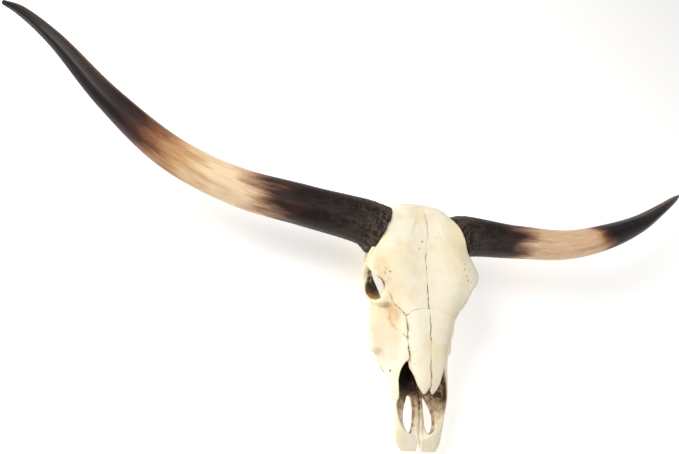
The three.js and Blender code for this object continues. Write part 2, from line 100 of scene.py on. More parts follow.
CHOANA_SECTIONS = [
    (-100, -100, (0, 62), (10, 61), (16, 52), (17, 30), (17, 10), (15, -20), (0, -20)),
    (-150, -150, (0, 78), (11, 76), (18, 66), (19, 40), (19, 15), (17, -20), (0, -20)),
    (-205, -205, (0, 84), (12, 82), (20, 70), (21, 44), (21, 15), (19, -20), (0, -20)),
    (-240, -236, (0, 72), (10, 70), (16, 60), (18, 42), (19, 15), (17, -20), (0, -20)),
]

# The raised edge round the left orbit, starting at the top and going forwards.
ORBIT_RIM = [
    (104, -184, 162), (92, -213, 152), (93, -221, 129), (101, -212, 104),
    (110, -186, 87), (114, -156, 91), (121, -142, 119), (124, -153, 149),
]
ORBIT_RIM_HALF = 6.8
ORBIT_RIM_DEPTH = 10.5
# The socket, its mouth, the pit below and behind it, and the bay in the forehead's edge.
ORBIT_HOLLOWS = (
    ((98, -181, 123), (54, 33, 33), 5, "orbit"),
    ((126, -183, 123), (36, 33.5, 32), 5, "orbit"),
    ((74, -164, 82), (27, 40, 42), 6, None),
    ((118, -196, 141), (24, 18, 30), 4, "orbit"),
)

# Bars of bone on the left side: knots, half widths and half heights at the knots, and how
# softly each flows into the skull.
BARS = {
    "zygomatic_arch": (
        [(105, -160, 88), (105, -130, 82), (99, -98, 80), (86, -70, 84), (66, -52, 92)],
        [6, 5, 5, 6, 9], [12, 11, 10, 10, 12], 6,
    ),
    "orbit_floor": (
        [(98, -146, 84), (93, -166, 82), (87, -185, 80), (82, -204, 82)],
        [5, 9, 12, 12], [6, 6.5, 7, 7], 5,
    ),
    "postorbital_bar": (
        [(117, -131, 154), (113, -128, 128), (105, -134, 104), (101, -142, 84)],
        [8, 7, 6, 6], [20, 15, 12, 10], 7,
    ),
    "facial_crest": (
        [(100, -208, 92), (96, -240, 78), (91, -268, 66), (85, -296, 58)],
        [5, 5, 5, 5], [5, 5, 5, 6], 16,
    ),
    "mastoid": (
        [(40, -30, 92), (72, -34, 84), (97, -38, 74)],
        [16, 14, 9], [34, 26, 14], 9,
    ),
    "jugular_process": (
        [(68, -28, 74), (67, -30, 48), (63, -31, 22), (60, -30, -4)],
        [17, 13, 9, 6.5], [11, 9, 7, 5], 8,
    ),
    "articular_tubercle": (
        [(58, -66, 82), (74, -68, 79), (92, -72, 78)],
        [8, 9, 7], [7, 7, 6], 8,
    ),
    "pterygoid_hook": (
        [(23, -160, 40), (23, -158, 22), (25, -152, 10)],
        [5, 4, 2.5], [9, 7, 3], 6,
    ),
}
# The thin bones that are set in once the cavities are cut: the prong between the slots of the
# palate on each side, and the blade down the middle of the nose.
PALATINE_PRONG = (
    [(5.6, -390, 60), (5.2, -430, 59), (5, -480, 49)],
    [4.9, 5, 5], [8, 8, 5], 2,
)
NASAL_BLADE = (
    [(0, -250, 62), (0, -310, 64), (0, -396, 58)],
    [2, 2, 2.5], [9, 10, 9], 4,
)

# Rounded lumps and hollows of the left side: centre, radii and softness of the join.
LUMPS = {
    "condyle": ((27, -5, 63), (20, 25, 21), 6),
    "condyle_lower": ((20, -14, 50), (15, 20, 14), 6),
    "bulla": ((40, -74, 50), (13, 21, 19), 5),
    "facial_tubercle": ((84, -296, 56), (9, 16, 9), 14),
    "maxillary_tuber": ((57, -228, 38), (16, 16, 20), 10),
    "brain_case": ((0, -62, 118), (68, 74, 60), 10),
    "basal_tubercle": ((13, -62, 46), (8, 12, 7), 7),
    "protuberance": ((0, -2, 138), (12, 12, 16), 9),
}
HOLLOWS = {
    "temporal_fossa": ((100, -88, 132), (26, 46, 30), 14),
    "lacrimal_hollow": ((88, -250, 122), (13, 30, 16), 22),
    "nuchal_hollow": ((26, 15, 124), (20, 14, 22), 12),
    "condylar_fossa": ((48, -2, 62), (8, 12, 16), 8),
    "cheek_hollow": ((80, -345, 62), (14, 38, 20), 18),
    "palate_vault": ((0, -300, 20), (27, 92, 21), 12),
    "pterygoid_fossa": ((52, -196, 62), (14, 26, 26), 9),
    "premolar_socket_front": ((33, -358, 22), (4.5, 6.5, 9), 3),
    "premolar_socket_back": ((36, -342, 18), (5.5, 7.5, 9), 3),
}
SPINAL_HOLE = ((0, 2, 86), (19, 30, 17), 4)

# Holes for nerves and vessels on the left side: a path and a radius.
FORAMINA = {
    "infraorbital": ([(70, -357, 82), (54, -344, 84)], 2.4),
    "supraorbital": ([(93, -175, 182), (91, -172, 158)], 1.3),
    "supraorbital_second": ([(103, -178, 178), (101, -176, 158)], 1.0),
    "palatine": ([(21, -262, 20), (21, -250, 46)], 3.4),
    "optic": ([(64, -150, 100), (30, -140, 96)], 5),
    "oval": ([(44, -104, 74), (24, -98, 78)], 5.5),
    "hypoglossal": ([(34, -22, 44), (20, -12, 70)], 3),
    "stylomastoid": ([(64, -52, 62), (54, -48, 76)], 3),
    "ear_canal": ([(88, -52, 92), (60, -54, 90)], 5),
}

# The left half of the nasal opening, from the tips of the nasal bones round to the muzzle.
NASAL_OPENING = [
    (0, -394), (9, -408), (16, -400), (24, -387), (31, -369), (36, -354), (39, -340),
    (45, -344), (53, -363), (56, -384), (54, -410), (49, -436), (38, -462), (20, -479),
    (0, -484),
]
NASAL_OPENING_HEIGHTS = (70, 220)
# The slot through the palate on the left side.
FISSURE = [
    (12, -396), (20, -397), (29, -414), (35, -435), (35, -456), (29, -469), (21, -473),
    (15, -462), (11, -438), (9.5, -410),
]
FISSURE_HEIGHTS = (-12, 90)
# The notch between the tips of the premaxillae.
MUZZLE_NOTCH = [(0, -467), (5.5, -512), (-5.5, -512)]
MUZZLE_NOTCH_HEIGHTS = (-5, 90)

# The suture down the middle wanders: y, and how far it lies to the animal's left, in mm.
MIDLINE = [
    (40, 0), (-33, 1), (-78, 3), (-104, -2), (-131, -7), (-142, -9), (-163, -7), (-192, -7),
    (-228, -9), (-244, -8), (-258, -4), (-294, -2), (-311, 0), (-347, -1), (-389, 2),
    (-420, 2), (-520, 0),
][::-1]
MIDLINE_REACH = 40  # mm to each side over which the wander dies away
RIPPLE, RIPPLE_LENGTH = 0.6, 5.1  # the suture's finest waves

# Each bone is what lies inside its outlines, seen from above (x, y) and from the side (y, z),
# once the bones before it have taken their share.
BONES = {
    "nasal": (
        [(-9, -243), (20, -245), (40, -250), (54, -260), (48, -286), (45, -314), (40.5, -338),
         (42, -358), (42, -430), (-9, -430)],
        [(-200, 300), (-200, 162), (-300, 136), (-364, 112), (-440, 90), (-440, 300)],
    ),
    "lacrimal": (
        [(130, -190), (97, -209), (79, -235), (54, -260), (48, -286), (49, -310), (130, -310)],
        [(-150, 112), (-215, 114), (-223, 119), (-241, 119), (-258, 114), (-270, 119),
         (-283, 130), (-303, 137), (-330, 140), (-330, 300), (-150, 300)],
    ),
    "frontal": (
        [(-9, 80), (220, 80), (220, -190), (97, -209), (79, -235), (54, -260), (-9, -260)],
        [(80, 140), (-60, 140), (-100, 134), (-130, 120), (-215, 120), (-215, 132),
         (-300, 128), (-300, 300), (80, 300)],
    ),
    "premaxilla": (
        [(-9, -380), (24, -380), (30, -340), (120, -340), (120, -560), (-9, -560)],
        [(-351, 140), (-372, 96), (-388, 66), (-392, -40), (-600, -40), (-600, 140)],
    ),
    "zygomatic": (
        [(62, -282), (72, -222), (70, -204), (64, -196), (64, -130), (88, -120), (200, -104),
         (200, -282)],
        [(-104, 140), (-112, 40), (-236, 40), (-262, 60), (-276, 82), (-262, 104),
         (-230, 140)],
    ),
    "maxilla": (
        [(-9, -231), (44, -231), (48, -222), (160, -222), (160, -560), (-9, -560)],
        None,
    ),
    "temporal": (
        [(44, -46), (30, -58), (30, -96), (48, -118), (160, -124), (160, -46)],
        None,
    ),
    "occipital": (
        [(-160, -80), (160, -80), (160, 120), (-160, 120)],
        None,
    ),
}

# Soft noise: its strength in mm, the size of its lumps in mm and its seed.
SURFACE_NOISE = ((0.7, 34, 3), (0.3, 13, 4), (0.14, 5.5, 5))
MIDLINE_NOISE = ((0.4, 4, 11),)
SUTURE_NOISE = ((1.1, 7, 12), (1.6, 19, 13))
TOOTH_NOISE = ((0.18, 4, 21),)

# In mm: how far knitted bones lap, how much the middle suture opens on top of the others, and
# how round the bones' edges are where they are knitted.
KNITTED_LAP = 0.3
MIDDLE_OPENS = 0.25
KNITTED_EDGE = 0.08

# The horns' middle lines and radii. Each row gives the mean of both, as x, y, z and radius, then
# by how much the left one departs from it: outwards, backwards and downwards, and in thickness
# as a share of the radius.
HORN_STATIONS = np.array([
    (92.5, -61, 134, 57.5, 0, -4, 0, 0),
    (114, -46.5, 136, 50.5, 0, -1, 0, 0.02),
    (263, -35.7, 142.2, 41.9, 0, -5.7, -3.3, 0.052),
    (409, -21.7, 147.2, 37.5, 0, -9.7, -4.4, 0.052),
    (546, 20.5, 156.4, 33.2, 0, -13, -8.6, 0.047),
    (675, 92.3, 165.2, 24.7, 0, -26.7, -23.9, 0.052),
    (789, 181.2, 169.7, 15.2, 0, -46.8, -33.9, 0.04),
    (869, 243, 152.3, 9.4, 7.5, -52.5, -36.5, 0.09),
    (908.6, 268.4, 140.2, 3.8, 12.7, -49.3, -37.2, 0.33),
])
HORN_RIM_SLANT = math.radians(21.5)
HORN_CORE_INSET = 3
HORN_FIT = 0.6  # mm left free between a sheath and the bone
NECK_ROOT = (34, -64, 132)  # the middle of the left neck, inside the skull
NECK_FLARE = 0.14  # how much wider the neck is at its root

# The last premolar and the three molars of the left side, front to back.
# Each row gives x, y, length, width and turn in degrees.
TEETH = [(40, -322, 19, 18, 20), (47, -301, 24, 22, 14), (53.5, -275, 27, 24, 6),
         (55, -247, 27, 23, 0)]


# ---------------------------------------------------------------- numbers and curves


def linear(hex_colour):
    """Linear RGBA from an sRGB hex colour."""
    parts = [int(hex_colour[i : i + 2], 16) / 255 for i in (1, 3, 5)]
    return tuple(
        c / 12.92 if c <= 0.04045 else ((c + 0.055) / 1.055) ** 2.4 for c in parts
    ) + (1.0,)


def smooth(knots, t, closed=False):
    """Points at t (0 to 1) of a centripetal Catmull-Rom curve through knots of any shape."""
    knots = np.asarray(knots, float)
    if closed:
        run = np.concatenate([knots[-1:], knots, knots[:2]])
        spans = len(knots)
    else:
        before = 2 * knots[:1] - knots[1:2]
        after = 2 * knots[-1:] - knots[-2:-1]
        run = np.concatenate([before, knots, after])
        spans = len(knots) - 1
    place = np.clip(np.asarray(t, float) * spans, 0, spans - 1e-9)
    i = place.astype(int)
    w = (place - i).reshape((-1,) + (1,) * (knots.ndim - 1))
    p = [run[i + k] for k in range(4)]

    def gap(a, b):
        length = np.linalg.norm(b - a, axis=-1, keepdims=True)
        return np.sqrt(np.maximum(length, 1e-4))

    d0, d1, d2 = gap(p[0], p[1]), gap(p[1], p[2]), gap(p[2], p[3])
    m1 = ((p[1] - p[0]) / d0 - (p[2] - p[0]) / (d0 + d1) + (p[2] - p[1]) / d1) * d1
    m2 = ((p[2] - p[1]) / d1 - (p[3] - p[1]) / (d1 + d2) + (p[3] - p[2]) / d2) * d1
    a = 2 * p[1] - 2 * p[2] + m1 + m2
    b = -3 * p[1] + 3 * p[2] - 2 * m1 - m2
    return a * w**3 + b * w**2 + m1 * w + p[1]


def unit(v):
    return v / np.maximum(np.linalg.norm(v, axis=-1, keepdims=True), 1e-9)


def soft_min(a, b, k):
    h = np.clip(0.5 + 0.5 * (b - a) / k, 0, 1)
    return b + (a - b) * h - k * h * (1 - h)


def soft_max(a, b, k):
    return -soft_min(-a, -b, k)


def step(low, high, value):
    t = np.clip((value - low) / (high - low), 0, 1)
    return t * t * (3 - 2 * t)


# ---------------------------------------------------------------- the field of distances


class Lattice:
    """A box of sample points, with what is needed to measure distances on it."""

    def __init__(self, low, high, voxel):
        self.low = np.array(low, float)
        self.voxel = voxel
        self.shape = tuple(int(math.ceil((h - l) / voxel)) + 1 for l, h in zip(low, high))
        axes = [l + voxel * np.arange(n) for l, n in zip(low, self.shape)]
        self.x = axes[0].astype(np.float32)[:, None, None]
        self.y = axes[1].astype(np.float32)[None, :, None]
        self.z = axes[2].astype(np.float32)[None, None, :]

    def window(self, low, high):
        """The slices that hold a box."""
        first = np.maximum(np.floor((np.array(low) - self.low) / self.voxel), 0).astype(int)
        last = np.ceil((np.array(high) - self.low) / self.voxel).astype(int) + 1
        last = np.minimum(last, self.shape)
        return tuple(slice(a, max(b, a)) for a, b in zip(first, last))

    def offsets(self, where, centre, radii=(1, 1, 1)):
        """How far a window's points lie from a centre on each axis, in radii."""
        axes = (self.x[where[0]], self.y[:, where[1]], self.z[:, :, where[2]])
        return [(axis - at) / radius for axis, at, radius in zip(axes, centre, radii)]

    def from_mesh(self, points, quads, where):
        """Distances to a closed mesh, inside one window."""
        transform = openvdb.createLinearTransform(voxelSize=self.voxel)
        grid = openvdb.FloatGrid.createLevelSetFromPolygons(
            (points - self.low).astype(np.float32),
            quads=quads.astype(np.uint32),
            transform=transform,
            halfWidth=float(BAND),
        )
        out = np.empty([s.stop - s.start for s in where], np.float32)
        grid.copyToArray(out, ijk=tuple(int(s.start) for s in where))
        return out

    def noise(self, size, seed):
        """Soft noise of about -1 to 1 with lumps of a size in mm."""
        weights = []
        counts = []
        for n in self.shape:
            place = np.arange(n) * self.voxel / size
            i = place.astype(int)
            w = place - i
            count = i[-1] + 4
            rows = np.zeros((n, count), np.float32)
            spline = [
                (1 - w) ** 3 / 6,
                (3 * w**3 - 6 * w**2 + 4) / 6,
                (-3 * w**3 + 3 * w**2 + 3 * w + 1) / 6,
                w**3 / 6,
            ]
            for k in range(4):
                rows[np.arange(n), i + k] = spline[k]
            weights.append(rows)
            counts.append(count)
        coarse = np.random.default_rng(seed).uniform(-1, 1, counts).astype(np.float32)
        full = np.tensordot(weights[0], coarse, (1, 0))
        full = np.einsum("yb,xbc->xyc", weights[1], full, optimize=True)
        full = np.tensordot(full, weights[2], (2, 1))
        return full * 2.2

    def roughness(self, layers):
        """A sum of noises of some strengths."""
        return sum(strength * self.noise(size, seed) for strength, size, seed in layers)

    def plan(self, outline):
        """Distance to an outline seen from above, on the (x, y) points."""
        return polygon_distance(outline, self.x[:, :, 0], self.y[:, :, 0])

    def side(self, outline):
        """Distance to an outline seen from the side, on the (y, z) points."""
        return polygon_distance(outline, self.y[0], self.z[0])

    def sample(self, field, points):
        """Values of a field at points, straight between its samples."""
        place = (points - self.low) / self.voxel
        place = np.clip(place, 0, np.array(self.shape) - 1.001)
        i = place.astype(int)
        w = (place - i).astype(np.float32)
        total = np.zeros(len(points), np.float32)
        for corner in range(8):
            step_x, step_y, step_z = corner & 1, (corner >> 1) & 1, corner >> 2
            share = (w[:, 0] if step_x else 1 - w[:, 0])
            share = share * (w[:, 1] if step_y else 1 - w[:, 1])
            share = share * (w[:, 2] if step_z else 1 - w[:, 2])
            total += share * field[i[:, 0] + step_x, i[:, 1] + step_y, i[:, 2] + step_z]
        return total

    def mesh(self, field):
        """The surface where a field is zero, as points and quads."""
        inside = np.argwhere(field.min(axis=(1, 2)) < 0)
        grid = openvdb.FloatGrid(float(BAND * self.voxel))
        first = max(int(inside.min()) - 2, 0)
        last = min(int(inside.max()) + 3, self.shape[0])
        grid.copyFromArray(np.ascontiguousarray(field[first:last]), ijk=(first, 0, 0))
        points, quads = grid.convertToQuads(0.0)
        return points.astype(float) * self.voxel + self.low, quads.astype(np.int32)


def polygon_distance(outline, u, v):
    """Signed distance to a closed outline, negative inside."""
    outline = np.asarray(outline, np.float32)
    best = np.full(np.broadcast_shapes(u.shape, v.shape), 1e9, np.float32)
    inside = np.zeros(best.shape, bool)
    for a, b in zip(outline, np.roll(outline, -1, axis=0)):
        du, dv = b - a
        share = ((u - a[0]) * du + (v - a[1]) * dv) / max(du * du + dv * dv, 1e-9)
        share = np.clip(share, 0, 1)
        away = (u - a[0] - share * du) ** 2 + (v - a[1] - share * dv) ** 2
        best = np.minimum(best, away)
        crosses = (a[1] > v) != (b[1] > v)
        if dv:
            inside ^= crosses & (u < a[0] + (v - a[1]) * du / dv)
    return np.where(inside, -np.sqrt(best), np.sqrt(best))


def loft(rings, joined=False):
    """Points and quads of a skin over rings, its ends closed by flat webs of quads."""
    count, sides = rings.shape[:2]
    points = rings.reshape(-1, 3)
    quads = []
    j = np.arange(sides)
    k = (j + 1) % sides
    for i in range(count if joined else count - 1):
        here, there = i * sides, ((i + 1) % count) * sides
        quads.append(np.stack([here + j, here + k, there + k, there + j], 1))
    if not joined:
        for ring in (0, count - 1):
            centre = len(points)
            points = np.vstack([points, rings[ring].mean(0)])
            even = j[::2]
            start = ring * sides
            web = np.stack(
                [
                    np.full(len(even), centre),
                    start + even,
                    start + (even + 1) % sides,
                    start + (even + 2) % sides,
                ],
                1,
            )
            quads.append(web if ring else web[:, ::-1])
    return points, np.vstack(quads)


def section_rings(rows, per_span, sides):
    """Rings of a smooth skin through rows of half outlines."""
    outlines = []
    for top, low, *half in rows:
        high = half[0][1]
        drop = high - half[-1][1]
        left = [(x, top + (low - top) * (high - z) / drop, z) for x, z in half]
        right = [(-x, y, z) for x, y, z in reversed(left[1:-1])]
        outlines.append(left + right)
    t = np.linspace(0, 1, (len(rows) - 1) * per_span + 1)
    knots = smooth(outlines, t)
    around = np.arange(sides) / sides
    return np.array([smooth(k, around, closed=True) for k in knots])


def ovals(centre, across, up, wide, tall, sides):
    """Oval rings round some centres, by their directions and half sizes across and up."""
    angle = (np.arange(sides) / sides * 2 * math.pi)[None, :, None]
    return (
        centre[:, None]
        + across[:, None] * np.cos(angle) * wide
        + up[:, None] * np.sin(angle) * tall
    )


def bar_rings(knots, across, high, sides=20, steps=24):
    """Rings of an oval bar along a smooth path."""
    t = np.linspace(0, 1, steps + 1)
    centre = smooth(knots, t)
    along = unit(np.gradient(centre, axis=0))
    steep = np.abs(along[:, 2:3]) > 0.8
    hint = np.where(steep, (0, 1, 0), (0, 0, 1))
    side = unit(np.cross(along, hint))
    places = np.linspace(0, 1, len(across))
    wide = np.interp(t, places, across)[:, None, None]
    tall = np.interp(t, places, high)[:, None, None]
    return ovals(centre, side, np.cross(side, along), wide, tall, sides)


def orbit_rings(sides=20, steps=72):
    """Rings of the closed tube that makes the orbit's raised edge."""
    centre = smooth(ORBIT_RIM, np.arange(steps) / steps, closed=True)
    along = unit(np.roll(centre, -1, 0) - np.roll(centre, 1, 0))
    inward = np.mean(ORBIT_RIM, axis=0) - centre
    side = unit(inward - along * (inward * along).sum(1, keepdims=True))
    centre[:, 0] -= ORBIT_RIM_DEPTH / 2
    outward = np.array([[1.0, 0, 0]])
    return ovals(centre, side, outward, ORBIT_RIM_HALF, ORBIT_RIM_DEPTH, sides)


def horn_stations(side):
    """Centres and radii down one horn; side is 1 for the left and -1 for the right."""
    x, y, z, radius, out, back, down, spread = HORN_STATIONS.T
    centres = np.stack([side * x + out, y + side * back, z + side * down], 1)
    return centres, radius * (1 - side * spread)


def rim_direction(side):
    """The way a horn's slanted rim runs, seen from above."""
    return np.array([[-side * math.sin(HORN_RIM_SLANT), math.cos(HORN_RIM_SLANT), 0]])


def horn_rings(side, t, sides, extra=0.0):
    """Rings of a horn at places t from rim to tip; the first ones follow the slanted rim."""
    centres, radii = horn_stations(side)
    last = len(centres) - 1
    centre = smooth(centres, t)
    ahead = smooth(centres, np.clip(t + 1e-3, 0, 1))
    behind = smooth(centres, np.clip(t - 1e-3, 0, 1))
    along = unit(ahead - behind)
    square = unit(np.cross((0, 0, 1), along)) * side
    blend = np.maximum(0, 1 - t * last * 0.8)[:, None]
    across = unit(square * (1 - blend) + rim_direction(side) * blend)
    high = unit(np.cross(along, square))
    high = high * np.sign(high[:, 2:3])
    knots = np.stack([radii, np.arange(len(radii)) * 12, radii * 0], 1)
    radius = smooth(knots, t)[:, 0] + extra
    reach = radius[:, None, None]
    return ovals(centre, across, high, reach, reach, sides), centre, radius


def neck_rings(side, sides=48):
    """Rings of the bony root on which a sheath sits."""
    centres, radii = horn_stations(side)
    radius = radii[0] - HORN_CORE_INSET
    inner = np.array(NECK_ROOT) * (side, 1, 1)
    t = np.linspace(0, 1, 14)[:, None]
    centre = inner + (centres[0] - inner) * t
    wide = (radius * (1 + NECK_FLARE - NECK_FLARE * t))[:, :, None]
    return ovals(centre, rim_direction(side), np.array([[0, 0, 1.0]]), wide, radius, sides)


class Skull:
    """The whole skull as one field of distances, and each bone as a share of it."""

    def __init__(self):
        self.grid = Lattice((-138, -516, -6), (138, 40, 200), VOXEL)
        self.body = np.full(self.grid.shape, BAND * VOXEL, np.float32)
        self.walls = {
            key: np.full(self.grid.shape, BAND * VOXEL, np.float32)
            for key in ("nose", "orbit", "throat", "magnum", "slots", "holes")
        }
        self.cut_bones()

    def join(self, where, shape, blend, away, wall):
        """Adds a shape to the body or takes it away, and keeps the distance to a hollow."""
        old = self.body[where]
        new = soft_max(old, -shape, blend) if away else soft_min(old, shape, blend)
        self.body[where] = new
        if wall:
            self.walls[wall][where] = np.minimum(self.walls[wall][where], shape)

    def merge(self, rings, blend, joined=False, away=False, both=True, wall=None):
        """Adds a skin to the body, or takes it away, with a soft join."""
        for turn in (1, -1) if both else (1,):
            points, quads = loft(rings * (turn, 1, 1), joined)
            if turn < 0:
                quads = quads[:, ::-1]
            reach = blend + 2 * VOXEL
            where = self.grid.window(points.min(0) - reach, points.max(0) + reach)
            self.join(where, self.grid.from_mesh(points, quads, where), blend, away, wall)

    def round_form(self, centre, radii, blend, away=False, wall=None):
        """Adds or takes away an ellipsoid on both sides."""
        for turn in (1, -1) if centre[0] else (1,):
            middle = np.array(centre) * (turn, 1, 1)
            reach = np.array(radii) * 1.2 + 2 * blend + 2 * VOXEL
            where = self.grid.window(middle - reach, middle + reach)
            u, v, w = self.grid.offsets(where, middle, radii)
            size = np.sqrt(u * u + v * v + w * w)
            slope = np.sqrt((u / radii[0]) ** 2 + (v / radii[1]) ** 2 + (w / radii[2]) ** 2)
            shape = size * (size - 1) / np.maximum(slope, 1e-6)
            self.join(where, shape, blend, away, wall)

    def round_forms(self, *names):
        """Adds the lumps and takes away the hollows of some names."""
        for name in names:
            away = name in HOLLOWS
            self.round_form(*(HOLLOWS if away else LUMPS)[name], away=away)

    def prism(self, outline, heights, blend, wall=None):
        """Takes away what lies over an outline in plan, between two heights."""
        flat = self.grid.plan(outline)[:, :, None]
        low, high = heights
        middle, half = (low + high) / 2, (high - low) / 2
        shape = np.maximum(flat, np.abs(self.grid.z - middle) - half)
        self.join(np.s_[:, :, :], shape, blend, True, wall)

    def tunnel(self, path, radius):
        """A small hole on both sides along a straight path, widening at its mouth."""
        for turn in (1, -1):
            a, b = (np.array(p, float) * (turn, 1, 1) for p in path)
            reach = radius * 2 + 3
            where = self.grid.window(np.minimum(a, b) - reach, np.maximum(a, b) + reach)
            run = b - a
            offsets = self.grid.offsets(where, a)
            share = sum(gap * part for gap, part in zip(offsets, run)) / (run @ run)
            share = np.clip(share, 0, 1)
            away = np.sqrt(sum((gap - share * part) ** 2 for gap, part in zip(offsets, run)))
            shape = away - radius * (1.15 - 0.35 * share)
            self.join(where, shape, 1.5, True, "holes")

    def shape_body(self):
        """All the bone there is, before it is parted along its sutures."""
        self.merge(section_rings(SKULL_SECTIONS, 8, 96), 0.5, both=False)
        self.round_forms("brain_case", "maxillary_tuber", "facial_tubercle", "temporal_fossa",
                         "lacrimal_hollow", "cheek_hollow", "palate_vault")
        for centre, radii, blend, wall in ORBIT_HOLLOWS:
            self.round_form(centre, radii, blend, away=True, wall=wall)
        for *bar, blend in BARS.values():
            self.merge(bar_rings(*bar), blend)
        self.merge(orbit_rings(), 5, joined=True)
        for side in (1, -1):
            self.merge(neck_rings(side), 7, both=False)
        self.round_forms("condyle", "condyle_lower", "bulla", "basal_tubercle", "protuberance",
                         "nuchal_hollow", "condylar_fossa", "pterygoid_fossa")
        self.cut_cavities()
        for (*bar, blend), both in ((PALATINE_PRONG, True), (NASAL_BLADE, False)):
            self.merge(bar_rings(*bar), blend, both=both)
        self.round_forms("premolar_socket_front", "premolar_socket_back")
        for path, radius in FORAMINA.values():
            self.tunnel(path, radius)
        self.body += self.grid.roughness(SURFACE_NOISE)
        for side in (1, -1):
            rings, _, _ = horn_rings(side, np.linspace(0, 0.3, 50), 96, HORN_FIT)
            self.merge(rings, 1.2, away=True, both=False)
        self.body = np.maximum(self.body, -self.grid.z)

    def cut_cavities(self):
        """Opens the nose, the throat, the hole for the spinal cord and the palate."""
        for rows, sides, blend, wall in ((CAVITY_SECTIONS, 64, 3, "nose"),
                                         (CHOANA_SECTIONS, 48, 4, "throat")):
            rings = section_rings(rows, 6, sides)
            self.merge(rings, blend, away=True, both=False, wall=wall)
        half = smooth(NASAL_OPENING, np.linspace(0, 1, 60))
        outline = np.vstack([half, half[1:-1][::-1] * (-1, 1)])
        self.prism(outline, NASAL_OPENING_HEIGHTS, 3)
        self.round_form(*SPINAL_HOLE, away=True, wall="magnum")
        slot = smooth(FISSURE, np.linspace(0, 1, 48, endpoint=False), closed=True)
        for turn in (1, -1):
            self.prism(slot * (turn, 1), FISSURE_HEIGHTS, 2.5, wall="slots")
        self.prism(MUZZLE_NOTCH, MUZZLE_NOTCH_HEIGHTS, 3)

    def cut_bones(self):
        """Works out each bone's own share of the space."""
        self.shape_body()
        grid = self.grid
        self.hollow = self.closeness()
        sutures = bpy.context.scene.skull_bone
        opened = self.opened()
        gap = opened * sutures.suture_gap / MM / 2 - KNITTED_LAP * (1 - opened) ** 4
        wander = np.interp(grid.y, *zip(*MIDLINE)) + RIPPLE * np.sin(grid.y / RIPPLE_LENGTH)
        shift = wander * np.exp(-((grid.x / MIDLINE_REACH) ** 2))
        self.across = np.broadcast_to(grid.x - shift, grid.shape) + grid.roughness(MIDLINE_NOISE)
        self.middle_gap = gap + MIDDLE_OPENS * opened
        self.edge = KNITTED_EDGE + opened
        ragged = grid.roughness(SUTURE_NOISE)
        flat_x = (grid.x - shift)[:, :, 0]
        flat_y = grid.y[:, :, 0] + 0 * flat_x
        taken = np.full(grid.shape, 1e3, np.float32)
        self.shares = {}
        for bone, (top, side) in BONES.items():
            own = polygon_distance(top, np.abs(flat_x), flat_y)[:, :, None]
            if side:
                own = np.maximum(own, grid.side(side)[None])
            own = (own + ragged).astype(np.float32)
            self.shares[bone] = np.maximum(own, -taken) + gap
            taken = np.minimum(taken, own)
        self.shares["sphenoid"] = gap - taken

    def opened(self):
        """How open the sutures are round each point, from 0 to 1."""
        field = np.full(self.grid.shape, KNITTED, np.float32)
        for centre, radii, strength in OPEN_SUTURES:
            reach = np.array(radii) * 1.2
            where = self.grid.window(np.array(centre) - reach, np.array(centre) + reach)
            u, v, w = self.grid.offsets(where, centre, radii)
            near = strength * step(*ZONE_EDGE, np.sqrt(u * u + v * v + w * w))
            field[where] = np.maximum(field[where], near)
        return field

    def closeness(self):
        """How much bone stands round each point, from 0 in the open to 1 deep inside."""
        solid = np.clip(0.5 - self.body / VOXEL, 0, 1).astype(np.float32)
        width = max(int(round(CLOSENESS_REACH / VOXEL)) | 1, 3)
        margin = [(width // 2 + 1, width // 2), (0, 0), (0, 0)]
        for axis in range(3):
            solid = np.moveaxis(solid, axis, 0)
            for _ in range(2):
                total = np.cumsum(np.pad(solid, margin), axis=0, dtype=np.float32)
                solid = (total[width:] - total[:-width]) / width
            solid = np.moveaxis(solid, 0, axis)
        return solid

    def bone(self, name, side=0):
        """Points, quads and paint of one bone; side is 1 left, -1 right, 0 both."""
        share = self.shares[name]
        if side:
            share = np.maximum(share, self.middle_gap - side * self.across)
        field = soft_max(self.body, share, self.edge)
        points, quads = self.grid.mesh(field)
        points, quads = biggest(points, quads)
        seam = -self.grid.sample(share, points)
        hollow = self.grid.sample(self.hollow, points)
        walls = {key: self.grid.sample(field, points) for key, field in self.walls.items()}
        return points, quads, bone_paint(points, seam, hollow, walls)


def biggest(points, quads):
    """The largest joined piece of a mesh."""
    label = np.arange(len(points))
    while True:
        low = label[quads].min(1)
        new = label.copy()
        for corner in range(4):
            np.minimum.at(new, quads[:, corner], low)
        new = new[new]
        if (new == label).all():
            break
        label = new
    names, counts = np.unique(label[quads[:, 0]], return_counts=True)
    keep = names[counts.argmax()]
    quads = quads[label[quads[:, 0]] == keep]
    used = np.unique(quads)
    renumber = np.full(len(points), -1, np.int32)
    renumber[used] = np.arange(len(used))
    return points[used], renumber[quads]


@functools.cache
def skull():
    """The skull's field, worked out once for all its bones."""
    return Skull()


def to_object(name, points, quads, material, paint):
    """A smooth-shaded object in the frame's metres, with a named value a point for each paint."""
    data = bpy.data.meshes.new(name)
    placed = ((points + (MIDLINE_X, POLL_Y, 0)) * MM).astype(np.float32)
    data.vertices.add(len(placed))
    data.vertices.foreach_set("co", placed.ravel())
    quads = np.asarray(quads, np.int32)
    data.loops.add(quads.size)
    data.loops.foreach_set("vertex_index", quads.ravel())
    data.polygons.add(len(quads))
    starts = np.arange(len(quads), dtype=np.int32) * quads.shape[1]
    data.polygons.foreach_set("loop_start", starts)
    data.update(calc_edges=True)
    data.polygons.foreach_set("use_smooth", np.ones(len(quads), bool))
    for key, values in paint.items():
        attribute = data.attributes.new(key, "FLOAT", "POINT")
        attribute.data.foreach_set("value", np.asarray(values, np.float32))
    data.validate()
    data.materials.append(material)
    made = bpy.data.objects.new(name, data)
    bpy.context.scene.collection.objects.link(made)
    return made


